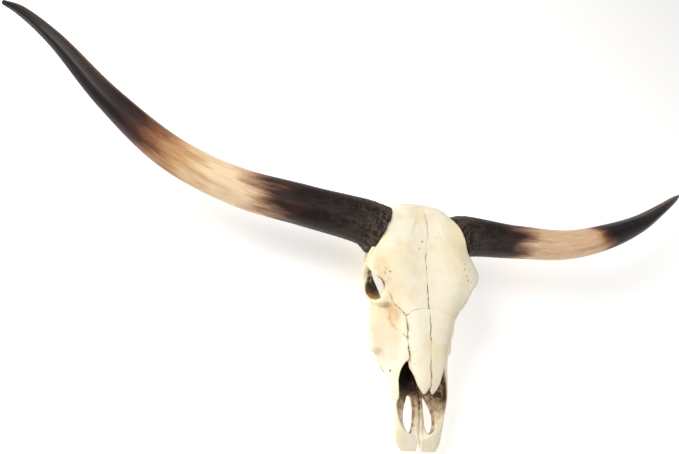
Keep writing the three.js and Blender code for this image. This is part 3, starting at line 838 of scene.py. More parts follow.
def node(tree, kind, inputs=None, out=0, stops=None, **settings):
    """Adds a shader node: its settings, its sockets' values or links, and a ramp's stops."""
    made = tree.nodes.new("ShaderNode" + kind)
    for key, value in settings.items():
        setattr(made, key, value)
    for key, value in (inputs or {}).items():
        if isinstance(value, bpy.types.NodeSocket):
            tree.links.new(value, made.inputs[key])
        else:
            made.inputs[key].default_value = value
    for i, (place, colour) in enumerate(stops or []):
        ramp = made.color_ramp.elements
        stop = ramp[i] if i < len(ramp) else ramp.new(place)
        stop.position = place
        stop.color = colour
    return made.outputs[out] if len(made.outputs) else made


def limits(low, high, least, most):
    """The inputs by which a node turns low to high into least to most."""
    return {"From Min": low, "From Max": high, "To Min": least, "To Max": most}


def new_material(name):
    material = bpy.data.materials.new(name)
    material.use_nodes = True
    material.node_tree.nodes.clear()
    return material, material.node_tree


def layered(tree, base, layers, noise, paint):
    """Colours laid over one another. Each layer is a colour, the noise that breaks it up, the
    noise's range, the layer's least and most strength, and the paint that places it."""
    for colour, pattern, low, high, least, most, where in layers:
        spread = limits(low, high, least, most)
        share = node(tree, "MapRange", {"Value": noise[pattern], **spread},
                     interpolation_type="SMOOTHSTEP")
        if where:
            share = node(tree, "Math", {0: share, 1: paint[where]}, operation="MULTIPLY")
        colour = linear(colour) if isinstance(colour, str) else tuple(colour)
        base = node(tree, "Mix", {0: share, 6: base, 7: colour}, out=2, data_type="RGBA")
    return base


# ---------------------------------------------------------------- materials

PER_METRE = 1000  # over a size in mm, how often a pattern repeats along a metre
PORE_SIZE = 3.6  # mm between the middles of two pores


def bleached_bone():
    """Dry sun-bleached bone: chalky ivory with a faint waxy depth, tan where the weather left its
    fats, brown dust in the hollows and sutures, and open pores near the orbits. In the nose,
    orbits, throat and palate slots brown grime is mixed with painted shade, with near-black
    painted deep shade where they are darkest, and painted shade inside the small holes."""
    look = bpy.context.scene.skull_bone
    material, tree = new_material("bleached_bone")
    place = node(tree, "TexCoord", out="Object")
    paint = {
        key: node(tree, "Attribute", out="Fac", attribute_name=key)
        for key in ("seam", "open", "dust", "tan", "porous", "grime", "dark", "mark", "blush")
    }
    noise = {}
    # Sizes in mm: clouds of fat, weathered mottle, specks of dirt in the pores, which also break
    # up the painted deep shade, and fibres along the nose.
    for key, size, detail, along in (
        ("broad", 70, 3, 1), ("mottle", 17, 5, 1), ("speck", 2.2, 3, 1), ("grain", 3, 5, 0.16),
        ("spots", 11, 2, 1),
    ):
        vector = node(tree, "Mapping", {"Vector": place, "Scale": (1, along, 1)})
        noise[key] = node(tree, "TexNoise", {
            "Vector": vector, "Scale": PER_METRE / size, "Detail": detail, "Roughness": 0.6})
    # Distances in mm: the dirt in an open suture, and the stain on both sides of it.
    for key, start, end, most in (("line", 0.2, 1.05, 1.0), ("halo", 0.5, 5.0, 0.55)):
        near = {"Value": paint["seam"], **limits(start, end, most, 0.0)}
        near = node(tree, "MapRange", near, interpolation_type="SMOOTHSTEP")
        paint[key] = node(tree, "Math", {0: near, 1: paint["open"]}, operation="MULTIPLY")
    cells = node(tree, "TexVoronoi", {"Vector": place, "Scale": PER_METRE / PORE_SIZE})
    pore = node(tree, "MapRange", {"Value": cells, **limits(0.12, 0.3, 1.0, 0.0)})
    paint["pore"] = node(tree, "Math", {0: pore, 1: paint["porous"]}, operation="MULTIPLY")

    colour = layered(tree, tuple(look.ivory), (
        (look.cream, "broad", 0.36, 0.66, 0.0, 1.0, None),
        ("#E4D2AC", "mottle", 0.52, 0.76, 0.0, 0.36, None),
        ("#DBC59C", "grain", 0.56, 0.78, 0.0, 0.2, None),
        ("#F3CDB2", "broad", 0.2, 0.6, 0.5, 1.0, "blush"),
        (look.tan, "mottle", 0.25, 0.65, 0.5, 1.0, "tan"),
        (look.dust, "mottle", 0.3, 0.7, 0.4, 1.0, "dust"),
        ("#B08D60", "mottle", 0.4, 0.62, 0.1, 0.9, "halo"),
        # Brown grime mixed with painted shade in the nose, orbits, throat, palate slots and orbit
        # floors.
        ("#9A6C38", "mottle", 0.3, 0.62, 0.6, 1.0, "grime"),
        ("#50310F", "spots", 0.42, 0.6, 0.05, 0.85, "grime"),
        # Near-black painted deep shade inside the nose, orbits and throat.
        ("#0B0807", "speck", 0.1, 0.5, 0.82, 1.0, "dark"),
        # Dark marks and pores, and painted shade inside the small holes.
        ("#42311F", "speck", 0.2, 0.5, 0.6, 1.0, "mark"),
        (look.stain, "spots", 0.4, 0.5, 0.15, 1.0, "line"),
        ("#6B5236", "spots", 0.47, 0.6, 0.0, 0.9, "pore"),
    ), noise, paint)

    height = noise["grain"]
    for part, share in ((noise["speck"], 0.6), (noise["mottle"], 1.6), (paint["pore"], -1.0)):
        height = node(tree, "Math", {0: part, 1: share, 2: height}, operation="MULTIPLY_ADD")
    bump = node(tree, "Bump", {"Height": height, "Strength": 0.5, "Distance": 0.0009})
    spread = limits(0.3, 0.7, look.roughness - 0.08, look.roughness + 0.1)
    rough = node(tree, "MapRange", {"Value": noise["mottle"], **spread})
    shader = node(tree, "BsdfPrincipled", {
        "Base Color": colour, "Roughness": rough, "IOR": 1.55, "Metallic": 0.0,
        "Subsurface Weight": 0.1, "Subsurface Radius": (1.0, 0.7, 0.45),
        "Subsurface Scale": 0.003, "Normal": bump,
    })
    node(tree, "OutputMaterial", {"Surface": shader})
    return material


def tooth_enamel():
    """Old cattle enamel: glassy cream, stained brown with tartar up the crown."""
    material, tree = new_material("tooth_enamel")
    place = node(tree, "TexCoord", out="Object")
    upright = node(tree, "Mapping", {"Vector": place, "Scale": (1, 1, 0.22)})
    noise = {
        key: node(tree, "TexNoise", {
            "Vector": vector, "Scale": PER_METRE / size, "Detail": detail})
        for key, vector, size, detail in (("streak", upright, 3.5, 4), ("stain", place, 9, 5))
    }
    colour = layered(tree, linear("#EFE4CA"), (
        ("#D8C196", "streak", 0.4, 0.65, 0.0, 0.8, None),
        ("#8C6A42", "streak", 0.56, 0.72, 0.0, 0.7, None),
        ("#6A4D2E", "stain", 0.55, 0.7, 0.0, 0.7, None),
    ), noise, {})
    bump = node(tree, "Bump", {"Height": noise["streak"], "Strength": 0.5, "Distance": 0.0007})
    shader = node(tree, "BsdfPrincipled", {
        "Base Color": colour, "Roughness": 0.34, "IOR": 1.62, "Normal": bump,
    })
    node(tree, "OutputMaterial", {"Surface": shader})
    return material


def horn_keratin():
    """Natural horn, scraped by wear: layered keratin fibres that run to the tip, scaly and
    brown-grey at the rim, black, then ivory, then dark again to the tip, with a dull polish and a
    pale stripe of painted highlight along the upper side of the last third."""
    look = bpy.context.scene.skull_horn
    material, tree = new_material("horn_keratin")
    paint = {
        key: node(tree, "Attribute", out="Fac", attribute_name=key)
        for key in ("tone", "reach", "around_x", "around_y", "scaly", "streaky", "peach", "ridge")
    }
    round_horn = node(tree, "CombineXYZ", {
        "X": paint["around_x"], "Y": paint["around_y"], "Z": paint["reach"]})
    noise = {}
    # How often each pattern repeats round the horn and along a metre of it.
    for key, count, along, detail in (
        ("streak", 5, 6, 4), ("thread", 22, 14, 3), ("cloud", 2.2, 11, 4),
        ("flake", 2.4, 230, 3), ("scale", 6, 34, 4),
    ):
        vector = node(tree, "Mapping", {
            "Vector": round_horn, "Location": (count, 0.7 * count, 1.3 * count),
            "Scale": (count, count, along)})
        noise[key] = node(tree, "TexNoise", {
            "Vector": vector, "Scale": 1.0, "Detail": detail, "Roughness": 0.6})

    tone = paint["tone"]
    for key, reach in (("streak", 0.016), ("cloud", 0.04)):
        sway = {"Value": noise[key], **limits(0.25, 0.75, -reach, reach)}
        sway = node(tree, "MapRange", sway)
        tone = node(tree, "Math", {0: tone, 1: sway}, operation="ADD")
    band = node(tree, "ValToRGB", {"Fac": tone}, stops=[
        (0.0, tuple(look.root)),
        (0.27, tuple(look.root)),
        (0.315, linear("#3A2621")),
        (0.35, linear("#7E5E4C")),
        (0.385, linear("#C29D7B")),
        (0.42, tuple(look.ivory)),
        (0.50, tuple(look.ivory)),
        (0.57, linear("#C89D6E")),
        (0.63, linear("#84583E")),
        (0.69, linear("#462B24")),
        (0.77, linear("#1F1515")),
        (1.0, tuple(look.tip)),
    ])
    colour = layered(tree, band, (
        ("#594A3E", "scale", 0.4, 0.64, 0.0, 0.9, "scaly"),
        ("#8B7862", "flake", 0.5, 0.7, 0.0, 0.4, "scaly"),
        ("#DDAE88", "scale", 0.3, 0.6, 0.35, 0.9, "peach"),
        ("#B08962", "cloud", 0.46, 0.64, 0.0, 0.6, "streaky"),
        ("#A57A52", "thread", 0.5, 0.72, 0.0, 0.45, "streaky"),
        ("#96704A", "streak", 0.56, 0.72, 0.0, 0.3, "streaky"),
        # A pale stripe along the upper side: a painted highlight.
        ("#8A7466", "thread", 0.35, 0.6, 0.2, 0.8, "ridge"),
    ), noise, paint)
    height = noise["streak"]
    for part, share in ((noise["thread"], 0.5), (noise["flake"], paint["scaly"])):
        height = node(tree, "Math", {0: part, 1: share, 2: height}, operation="MULTIPLY_ADD")
    bump = node(tree, "Bump", {"Height": height, "Strength": 0.5, "Distance": 0.0008})
    spread = limits(0.3, 0.7, look.roughness - 0.06, look.roughness + 0.12)
    rough = node(tree, "MapRange", {"Value": noise["streak"], **spread})
    rough = node(tree, "Math", {0: paint["scaly"], 1: 0.25, 2: rough}, operation="MULTIPLY_ADD")
    shader = node(tree, "BsdfPrincipled", {
        "Base Color": colour, "Roughness": rough, "IOR": 1.55, "Specular IOR Level": 0.18,
        "Normal": bump,
    })
    node(tree, "OutputMaterial", {"Surface": shader})
    return material


def floor_paper():
    """Matt white studio paper, bright enough to read as plain background."""
    look = bpy.context.scene.skull_stage
    material, tree = new_material("floor_paper")
    shader = node(tree, "BsdfPrincipled", {
        "Base Color": tuple(look.floor), "Roughness": 0.95, "IOR": 1.45,
        "Emission Color": (1.0, 1.0, 1.0, 1.0), "Emission Strength": 0.4,
    })
    node(tree, "OutputMaterial", {"Surface": shader})
    return material


# ---------------------------------------------------------------- paint by place

# Soft zones on the bone: centre, radii and strength.
PATCHES = {
    "tan": [
        ((-76, -246, 130), (20, 40, 24), 0.85),
        ((76, -246, 130), (20, 40, 24), 0.5),
        ((-108, -172, 166), (22, 42, 20), 0.35),
        ((0, 4, 90), (80, 30, 70), 0.4),
        ((0, -60, 50), (60, 60, 20), 0.3),
        ((-74, -107, 184), (14, 16, 10), 0.14),
    ],
    "blush": [
        ((-78, -292, 92), (28, 66, 54), 0.62),
        ((78, -292, 92), (26, 60, 50), 0.35),
    ],
    "porous": [
        ((-100, -172, 168), (20, 32, 16), 1.0),
        ((88, -158, 178), (14, 34, 14), 1.0),
        ((-88, -60, 156), (24, 46, 44), 0.35),
        ((88, -60, 156), (24, 46, 44), 0.35),
        ((0, -495, 42), (46, 22, 16), 0.6),
        ((-70, -330, 90), (22, 26, 30), 0.6),
        ((0, 4, 110), (80, 26, 60), 0.8),
    ],
    # Small dark marks and pore openings.
    "mark": [
        ((-14, -99, 183), (2.2, 2.2, 4), 1.0),
        ((-22, -117, 183), (4, 2.5, 4), 0.35),
        ((-42, -10, 177), (5, 2, 5), 0.3),
        ((-107, -188, 164), (1.8, 1.8, 4), 0.5),
        ((89, -138, 179), (1.8, 2.4, 4), 0.6),
        ((84, -152, 180), (1.8, 2.4, 4), 0.6),
        ((90, -165, 176), (1.8, 2.4, 4), 0.5),
        ((-33, -352, 127), (2.2, 2.2, 4), 0.8),
        ((-62, -334, 104), (5, 2.5, 5), 0.3),
    ],
    # The orbit floors, where grime and painted shade lie.
    "ledge": [
        ((90, -174, 84), (16, 44, 17), 1.0),
        ((-90, -174, 84), (16, 44, 17), 1.0),
    ],
    # Where painted deep shade lies: the near side of the nose, the orbits, the hole for the spinal
    # cord and the throat.
    "dark": [
        ((-24, -360, 84), (44, 58, 48), 1.0),
        ((92, -162, 106), (40, 38, 44), 0.92),
        ((-92, -162, 106), (40, 38, 44), 0.92),
        ((0, -30, 86), (24, 30, 22), 1.0),
        ((0, -170, 50), (26, 80, 40), 0.7),
    ],
}

# How much each length of suture is open and dirty; elsewhere it is knitted shut.
OPEN_SUTURES = [
    ((1, -60, 184), (6, 34, 12), 0.4),
    ((-8, -150, 180), (6, 34, 12), 0.55),
    ((-8, -220, 171), (5, 32, 14), 1.0),
    ((-4, -290, 155), (6, 46, 20), 0.8),
    ((0, -375, 130), (6, 44, 24), 0.75),
    ((-82, -232, 150), (26, 32, 14), 0.5),
    ((-58, -258, 152), (12, 14, 12), 0.65),
    ((-38, -250, 164), (16, 10, 14), 0.22),
    ((-49, -285, 146), (12, 34, 22), 0.5),
    ((-42, -328, 132), (12, 24, 18), 0.85),
    ((-78, -262, 128), (30, 38, 18), 0.3),
    ((80, -232, 154), (30, 34, 18), 0.45),
    ((44, -320, 130), (14, 40, 22), 0.5),
    ((0, -402, 60), (8, 30, 20), 0.9),
]
KNITTED = 0.03
ZONE_EDGE = (1.15, 0.55)  # in radii of a zone, where it ends and where it is full

# How far the colour of a hollow reaches out of it, in mm: where it ends and where it is full.
HOLLOW_REACH, SOCKET_REACH, HOLE_REACH = (2.6, 0.2), (2.4, -0.6), (1.0, -0.3)
DUSTY = (0.52, 0.74)  # how enclosed a place is when dust starts and when it lies thick
# Grime and painted shade in the nose start faint, then turn full further in, between these places
# of y.
NOSE_GRIME_AND_SHADE_STARTS, NOSE_GRIME_AND_SHADE_FILLS = (-482, -455), (-446, -392)
NOSE_FAINT, SLOTS_FAINT, THROAT_FAINT = 0.25, 0.75, 0.7


def zone(points, zones, least=0.0):
    """The strongest of some soft zones at each point."""
    total = np.full(len(points), least)
    for centre, radii, strength in zones:
        away = np.linalg.norm((points - centre) / radii, axis=1)
        total = np.maximum(total, strength * step(*ZONE_EDGE, away))
    return total


def bone_paint(points, seam, hollow, walls):
    """One value a point for each kind of colour on the bone. Walls are the distances to the
    hollows that were taken out of the bone, which their walls touch."""
    inside = {key: step(*HOLLOW_REACH, away) for key, away in walls.items()}
    y = points[:, 1]
    nose = NOSE_FAINT + (1 - NOSE_FAINT) * step(*NOSE_GRIME_AND_SHADE_FILLS, y)
    nose = inside["nose"] * nose * step(*NOSE_GRIME_AND_SHADE_STARTS, y)
    socket = step(*SOCKET_REACH, walls["orbit"])
    behind = np.maximum(inside["throat"], inside["magnum"])
    slots = inside["slots"] * SLOTS_FAINT
    paint = {kind: zone(points, zones) for kind, zones in PATCHES.items()}
    paint["seam"] = seam
    paint["open"] = zone(points, OPEN_SUTURES, KNITTED) * (1 - socket)
    paint["dust"] = step(*DUSTY, hollow)
    ledge = paint.pop("ledge")
    # Grime and painted shade in the hollows that were cut: the nose, orbits, throat, palate slots
    # and orbit floors.
    paint["grime"] = np.maximum.reduce([nose, socket, behind * THROAT_FAINT, slots, ledge])
    # Painted deep shade, only inside the nose, orbits, throat and orbit floors.
    paint["dark"] = paint["dark"] * np.maximum.reduce([nose, socket, behind, ledge])
    # Painted shade inside the small holes for nerves and vessels.
    paint["mark"] = np.maximum(paint["mark"], step(*HOLE_REACH, walls["holes"]))
    return paint


# ---------------------------------------------------------------- pieces


def add_bone(name, node_name, side):
    """Makes one bone, painted, riding on the frame in place of its solid."""
    points, quads, paint = skull().bone(name, side)
    material = bpy.data.materials.get("bleached_bone") or bleached_bone()
    made = to_object(node_name + "_bone", points, quads, material, paint)
    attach(made, "root")
    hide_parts(node_name)


TOOTH_HEIGHT = 30
TOOTH_TAPER = 0.0035  # how much narrower a crown gets with each mm of height
TOOTH_VOXEL = 0.7
# Where a crown's lobes, ribs and pits lie, in half widths across it and half lengths along it.
LOBES_ACROSS, LOBES_ALONG = (0.34, -0.36), (-0.48, 0.48)
LOBE_WIDE, LOBE_LONG = 0.62, 0.52
RIBS_ACROSS, RIBS_ALONG = 0.84, (-0.9, -0.02, 0.9)
RIB_RADIUS = 1.5
PITS_ACROSS, PITS_ALONG = -0.1, (-0.46, 0.46)


def tooth_field(grid, tooth):
    """One cheek tooth: two outer and two inner lobes with ribs between, worn flat below."""
    x, y, length, width, turn = tooth
    angle = math.radians(-turn)
    u = (grid.x - x) * math.cos(angle) + (grid.y - y) * math.sin(angle)
    v = (grid.y - y) * math.cos(angle) - (grid.x - x) * math.sin(angle)
    taper = 1 - TOOTH_TAPER * grid.z
    half_long = (length / 2 - 0.5) * taper
    half_wide = width / 2 * taper
    shape = None
    for at_v in LOBES_ALONG:
        for at_u in LOBES_ACROSS:
            a = (u - at_u * half_wide) / (LOBE_WIDE * half_wide)
            b = (v - at_v * half_long) / (LOBE_LONG * half_long)
            lobe = (np.sqrt(a * a + b * b) - 1) * 0.5 * half_long
            shape = lobe if shape is None else soft_min(shape, lobe, 2.2)
    for at_v in RIBS_ALONG:
        rib = np.hypot(u - RIBS_ACROSS * half_wide, v - at_v * half_long) - RIB_RADIUS
        shape = soft_min(shape, rib, 1.4)
    shape = np.maximum(shape, -grid.z)
    shape = soft_max(shape, grid.z - TOOTH_HEIGHT, 3)
    for at_v in PITS_ALONG:
        along = v - at_v * half_long
        bend = (u - PITS_ACROSS * half_wide) + 0.07 * along**2 - 1.4
        pit = np.hypot(bend / 1.1, along / 4.4) - 1
        pit = np.maximum(pit, (grid.z - 1.8) / 1.2)
        shape = soft_max(shape, -pit, 0.5)
    return shape


def add_teeth(side):
    """The cheek teeth of one side, rooted in the maxilla."""
    grid = Lattice((24, -340, -2), (74, -228, 33), TOOTH_VOXEL)
    field = np.minimum.reduce([tooth_field(grid, tooth) for tooth in TEETH])
    field = np.maximum(field + grid.roughness(TOOTH_NOISE), -grid.z)
    points, quads = grid.mesh(field)
    if side < 0:
        points = points * (-1, 1, 1)
        quads = quads[:, ::-1]
    name = "teeth_left" if side > 0 else "teeth_right"
    material = bpy.data.materials.get("tooth_enamel") or tooth_enamel()
    made = to_object(name, points, quads, material, {})
    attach(made, "root")


# The horn's tones by how far out from the rim they lie, in mm, for the left and the right horn:
# black root, start and end of the ivory, tan, brown, dark and the tip.
HORN_TONES = {
    1: ((0, 0.0), (100, 0.24), (138, 0.29), (172, 0.33), (205, 0.365), (245, 0.42), (385, 0.5),
        (410, 0.57), (426, 0.63), (446, 0.71), (472, 0.8), (910, 1.0)),
    -1: ((0, 0.0), (176, 0.24), (228, 0.3), (275, 0.35), (335, 0.42), (390, 0.5), (446, 0.56),
         (500, 0.62), (540, 0.68), (580, 0.75), (640, 0.84), (935, 1.0)),
}
# How much further out, in mm, the tones change on the horn's back: near the root and further out.
LEAN = {1: (15, -26), -1: (30, 10)}
LEAN_TURNS = (300, 500)  # where the lean goes from the first to the second
# Growth rings: mm from one to the next, their share of the ring depth, and how far they wobble.
GROWTH_RINGS = ((13.5, 1.0, 1.0), (5.2, 0.5, 1.7))
ROOT_LENGTH = 90  # mm over which the growth rings die away
# Ripples of a horn: height in mm, seed, whole waves round it, their lengths along it in mm, and
# how many waves are summed.
RING_WOBBLE = (2.2, 31, (1, 4), (60, 200), 8)
FIBRES = (0.22, 32, (14, 40), (500, 2000), 26)
SWELLS = (0.6, 33, (2, 6), (150, 600), 12)
CHIPS = (0.12, 34, (5, 30), (5, 20), 40)
RAGGED_RIM = (1.1, 35, (3, 17), (10, 20), 14)
CLOUDS = (9, 41, (1, 5), (60, 240), 14)
RAGGED_LENGTH = 8  # mm over which the rim's raggedness dies away
SCALY_LENGTH = 60  # mm over which the scales at the rim die away
SMOOTH_RADIUS = 30  # mm of radius below which ripples get lower
# A painted highlight runs as a pale stripe along the upper side of the horn's last third: how high
# up it lies, as a sine, how broad it is, how strong, and between which distances from the rim it
# starts.
HIGHLIGHT_HEIGHT, HIGHLIGHT_BREADTH, HIGHLIGHT_STRENGTH = 0.8, 0.16, 0.8
HIGHLIGHT_START = (560, 680)
# The turned-in lip of the sheath: how far in and how deep each of its rings lies.
LIP = ((3.6, 9.0), (3.4, 2.0), (2.2, 0.2), (0.8, -0.1))


def waves(angle, reach, ripple, turn=0):
    """A ripple over a horn, at angles round it and mm along it; turn alters its seed."""
    height, seed, turns, lengths, count = ripple
    draw = np.random.default_rng(seed + turn)
    total = np.zeros(np.broadcast_shapes(angle.shape, reach.shape))
    for _ in range(count):
        n = draw.integers(turns[0], turns[1] + 1)
        length = draw.uniform(*lengths) * draw.choice((-1, 1))
        phase = draw.uniform(0, 2 * math.pi)
        total += np.sin(n * angle + 2 * math.pi * reach / length + phase)
    return height * (total / math.sqrt(count))


def horn_surface(side, sides, rows):
    """Rings of a sheath with its growth rings and fibres, and each ring's way out from the rim."""
    look = bpy.context.scene.skull_horn
    t = np.linspace(0, 1, rows) ** 1.15
    t[-1] = 0.9995
    rings, centre, radius = horn_rings(side, t, sides)
    reach = np.concatenate([[0], np.cumsum(np.linalg.norm(np.diff(centre, axis=0), axis=1))])
    out = reach[:, None]
    angle = np.arange(sides)[None, :] / sides * 2 * math.pi
    near_root = np.exp(-out / ROOT_LENGTH)
    wobble = waves(angle, out, RING_WOBBLE)
    bulge = 0
    for length, share, sway in GROWTH_RINGS:
        ring = np.sin(2 * math.pi * (out + sway * wobble) / length)
        bulge = bulge + share * look.ring_depth / MM * near_root * ring
    thin = np.minimum(1, radius[:, None] / SMOOTH_RADIUS)
    bulge += thin * waves(angle, out, FIBRES)
    bulge += thin * waves(angle, out, SWELLS)
    bulge += thin * (0.3 + near_root) * waves(angle, out, CHIPS)
    outward = unit(rings - centre[:, None])
    rings = rings + outward * bulge[:, :, None]
    along = unit(centre[1] - centre[0])
    ragged = waves(angle[0], np.zeros(sides), RAGGED_RIM, side)
    fade = np.exp(-out / RAGGED_LENGTH)
    rings = rings + along * (ragged[None] * fade)[:, :, None]
    lip = [rings[0] - outward[0] * inset + along * depth for inset, depth in LIP]
    return np.concatenate([np.array(lip), rings]), angle, out


def horn_paint(side, angle, out):
    """One value a point for each kind of colour on the horn, out being mm from the rim."""
    back = np.cos(angle)
    below = -np.sin(angle)
    near, far = LEAN[side]
    lean = near + (far - near) * step(*LEAN_TURNS, out)
    cloudy = waves(angle, out, CLOUDS, side)
    tone = np.interp(out - lean * back - cloudy, *zip(*HORN_TONES[side]))
    pale = step(0.38, 0.42, tone) * step(0.62, 0.52, tone)
    # A painted highlight along the upper side of the horn's last third.
    off_highlight = (np.sin(angle) - HIGHLIGHT_HEIGHT) / HIGHLIGHT_BREADTH
    ridge = HIGHLIGHT_STRENGTH * np.exp(-(off_highlight**2)) * (back > -0.2)
    return {
        "tone": tone,
        "reach": out * MM,
        "around_x": back,
        "around_y": np.sin(angle),
        "scaly": np.exp(-out / SCALY_LENGTH) * 0.95 + 0.05 * step(0.3, 0.2, tone),
        "streaky": pale * (0.45 + 0.55 * step(-0.1, 0.7, below)),
        "peach": pale * (0.8 if side > 0 else 0.1),
        "ridge": ridge * step(*HIGHLIGHT_START, out) * step(0.6, 0.75, tone),
    }


def add_horn(side):
    """A horn sheath with growth rings at its root and fibres that run to its tip."""
    rows, sides = ((460, 128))
    rings, angle, out = horn_surface(side, sides, rows)
    points, quads = loft(rings)
    if side < 0:
        quads = quads[:, ::-1]
    webs = len(points) - len(rings) * sides
    paint = {}
    for key, values in horn_paint(side, angle, out).items():
        values = np.broadcast_to(values, (rows, sides))
        tail = np.full(webs, values[-1, -1])
        paint[key] = np.concatenate([np.tile(values[0], len(LIP)), values.ravel(), tail])
    material = bpy.data.materials.get("horn_keratin") or horn_keratin()
    name = "horn_left" if side > 0 else "horn_right"
    made = to_object(name + "_sheath", points, quads, material, paint)
    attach(made, "root")
    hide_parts(name)


# ---------------------------------------------------------------- settings


LENGTH = {"unit": "LENGTH", "subtype": "DISTANCE", "precision": 5}


def colour_property(name, words, hex_colour):
    return bpy.props.FloatVectorProperty(
        name=name, description=words, subtype="COLOR", size=4, min=0, max=1,
        default=linear(hex_colour),
    )


def number_property(name, words, default, least, most, **kind):
    return bpy.props.FloatProperty(
        name=name, description=words, default=default, min=least, max=most, **kind)


class BoneSettings(bpy.types.PropertyGroup):
    ivory: colour_property("Ivory", "Cleanest bone", "#FAF1DA")
    cream: colour_property("Cream", "Bone that kept some of its fat", "#F4E4C0")
    tan: colour_property("Tan", "Weathered patches before the orbits", "#D2B07A")
    dust: colour_property("Dust", "Dust in the hollows", "#C9AC7E")
    stain: colour_property("Stain", "Dirt in the sutures", "#3B2A1B")
    suture_gap: number_property(
        "Suture gap", "Open width of a suture", 0.0003, 0.0001, 0.002, **LENGTH)
    roughness: number_property(
        "Roughness", "How dull the bone is", 0.62, 0.2, 0.9, subtype="FACTOR")


class HornSettings(bpy.types.PropertyGroup):
    root: colour_property("Root", "Dark horn next to the skull", "#1D1514")
    ivory: colour_property("Ivory", "Pale length of the horn", "#F0D6B0")
    tip: colour_property("Tip", "Horn at the tip", "#0D0808")
    ring_depth: number_property(
        "Ring depth", "Height of the growth rings at the root", 0.0005, 0, 0.003, **LENGTH)
    roughness: number_property(
        "Roughness", "How dull the horn is", 0.36, 0.1, 0.9, subtype="FACTOR")


class StageSettings(bpy.types.PropertyGroup):
    floor: colour_property("Floor", "Studio floor", "#F4F3F1")
    floor_size: number_property(
        "Floor size", "Side of the square floor", 30.0, 2, 60, **LENGTH)
    key_power: number_property(
        "Key light", "Power of the large soft light", 52.0, 0, 500, unit="POWER")
    fill_power: number_property(
        "Fill light", "Power of the light on the far side", 9.5, 0, 500, unit="POWER")
    top_power: number_property(
        "Top light", "Power of the light overhead", 15.0, 0, 500, unit="POWER")


# ---------------------------------------------------------------- operators


class AddsBones:
    """What the operators for bones share: pairs of bones, and bones on the midline."""

    pairs = ()
    single = ()

    def execute(self, context):
        for name in self.pairs:
            add_bone(name, name + "_left", 1)
            add_bone(name, name + "_right", -1)
        for name in self.single:
            add_bone(name, name, 0)
        return {"FINISHED"}


class SKULL_OT_forehead(AddsBones, bpy.types.Operator):
    """Adds the two frontal bones"""

    bl_idname = "skull.forehead"
    bl_label = "Forehead"
    pairs = ("frontal",)


class SKULL_OT_nose(AddsBones, bpy.types.Operator):
    """Adds the nasal and premaxillary bones"""

    bl_idname = "skull.nose"
    bl_label = "Nose and muzzle"
    pairs = ("nasal", "premaxilla")


class SKULL_OT_cheeks(AddsBones, bpy.types.Operator):
    """Adds the lacrimal, zygomatic and maxillary bones"""

    bl_idname = "skull.cheeks"
    bl_label = "Cheeks"
    pairs = ("lacrimal", "zygomatic", "maxilla")


class SKULL_OT_cranium(AddsBones, bpy.types.Operator):
    """Adds the temporal bones, the occiput and the base of the skull"""

    bl_idname = "skull.cranium"
    bl_label = "Cranium"
    pairs = ("temporal",)
    single = ("occipital", "sphenoid")


class SKULL_OT_teeth(bpy.types.Operator):
    """Adds the cheek teeth"""

    bl_idname = "skull.teeth"
    bl_label = "Teeth"

    def execute(self, context):
        add_teeth(1)
        add_teeth(-1)
        return {"FINISHED"}


class SKULL_OT_horns(bpy.types.Operator):
    """Adds the two horn sheaths"""

    bl_idname = "skull.horns"
    bl_label = "Horns"

    def execute(self, context):
        add_horn(1)
        add_horn(-1)
        return {"FINISHED"}


# The camera's place in metres from the middle of the poll, its directions and its lens in mm.
CAMERA_PLACE = (-0.6541, -0.7149, 1.2684)
CAMERA_FORWARD = (0.339, 0.469, -0.816)
CAMERA_RIGHT = (0.932, -0.049, 0.359)
CAMERA_LENS = 34.463
SENSOR_WIDTH = 36.0
CAMERA_REACH = 60

# Each lamp's place, diameter, power setting and colour; all are aimed at one point.
LAMPS = {
    "key_light": ((-1.9, 0.5, 1.75), 1.5, "key_power", (1.0, 0.985, 0.96)),
    "fill_light": ((1.6, -1.3, 1.5), 2.2, "fill_power", (0.95, 0.975, 1.0)),
    "top_light": ((0.2, -0.4, 2.6), 2.4, "top_power", (1.0, 1.0, 1.0)),
}
LAMP_AIM = Vector((0, -0.1, 0.12))
WORLD = {"Color": (1, 0.985, 0.96, 1), "Strength": 0.28}


def camera_axes():
    """Right, up and back of the camera in the frame's axes."""
    forward = Vector(CAMERA_FORWARD).normalized()
    right = Vector(CAMERA_RIGHT)
    right = (right - forward * right.dot(forward)).normalized()
    return right, right.cross(forward), -forward


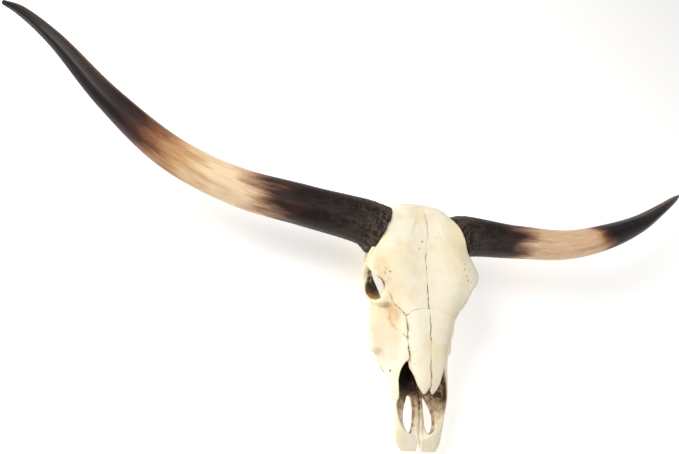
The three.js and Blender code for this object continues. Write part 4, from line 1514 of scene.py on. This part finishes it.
class SKULL_OT_stage(bpy.types.Operator):
    """Adds the floor, the lights and the camera"""

    bl_idname = "skull.stage"
    bl_label = "Stage"

    def execute(self, context):
        look = context.scene.skull_stage
        half = look.floor_size / 2
        data = bpy.data.meshes.new("floor")
        corners = [(-half, -half, 0), (half, -half, 0), (half, half, 0), (-half, half, 0)]
        data.from_pydata(corners, [], [(0, 1, 2, 3)])
        data.materials.append(floor_paper())
        floor = bpy.data.objects.new("floor", data)
        context.scene.collection.objects.link(floor)

        for name, (place, size, power, colour) in LAMPS.items():
            lamp = bpy.data.lights.new(name, "AREA")
            lamp.shape = "DISK"
            lamp.size = size
            lamp.energy = getattr(look, power)
            lamp.color = colour
            made = bpy.data.objects.new(name, lamp)
            made.location = place
            aim = LAMP_AIM - Vector(place)
            made.rotation_euler = aim.to_track_quat("-Z", "Y").to_euler()
            context.scene.collection.objects.link(made)

        world = bpy.data.worlds.new("studio")
        world.use_nodes = True
        for key, value in WORLD.items():
            world.node_tree.nodes["Background"].inputs[key].default_value = value
        context.scene.world = world
        context.scene.view_settings.view_transform = "Standard"

        right, up, back = camera_axes()
        camera = bpy.data.objects.new("camera", bpy.data.cameras.new("camera"))
        camera.data.sensor_width = SENSOR_WIDTH
        camera.data.sensor_fit = "HORIZONTAL"
        camera.data.lens = CAMERA_LENS
        camera.data.clip_end = CAMERA_REACH
        place = Vector(CAMERA_PLACE) + Vector((MIDLINE_X, POLL_Y, 0)) * MM
        camera.matrix_world = Matrix.Translation(place) @ Matrix(
            (right, up, back)).transposed().to_4x4()
        context.scene.collection.objects.link(camera)
        context.scene.camera = camera
        return {"FINISHED"}


class SKULL_PT_panel(bpy.types.Panel):
    bl_label = "Longhorn Skull"
    bl_space_type = "VIEW_3D"
    bl_region_type = "UI"
    bl_category = "Skull"

    def draw(self, context):
        for operator in OPERATORS:
            self.layout.operator(operator.bl_idname)
        for settings in (context.scene.skull_bone, context.scene.skull_horn,
                         context.scene.skull_stage):
            box = self.layout.box()
            for key in settings.__annotations__:
                box.prop(settings, key)


OPERATORS = (
    SKULL_OT_forehead,
    SKULL_OT_nose,
    SKULL_OT_cheeks,
    SKULL_OT_cranium,
    SKULL_OT_teeth,
    SKULL_OT_horns,
    SKULL_OT_stage,
)
CLASSES = (BoneSettings, HornSettings, StageSettings) + OPERATORS + (SKULL_PT_panel,)


def register():
    for one in CLASSES:
        bpy.utils.register_class(one)
    bpy.types.Scene.skull_bone = bpy.props.PointerProperty(type=BoneSettings)
    bpy.types.Scene.skull_horn = bpy.props.PointerProperty(type=HornSettings)
    bpy.types.Scene.skull_stage = bpy.props.PointerProperty(type=StageSettings)


def unregister():
    del bpy.types.Scene.skull_bone
    del bpy.types.Scene.skull_horn
    del bpy.types.Scene.skull_stage
    for one in reversed(CLASSES):
        bpy.utils.unregister_class(one)


def main():
    register()
    bpy.ops.skull.forehead()
    bpy.ops.skull.nose()
    bpy.ops.skull.cheeks()
    bpy.ops.skull.cranium()
    bpy.ops.skull.teeth()
    bpy.ops.skull.horns()
    bpy.ops.skull.stage()


if __name__ == "__main__":
    main()
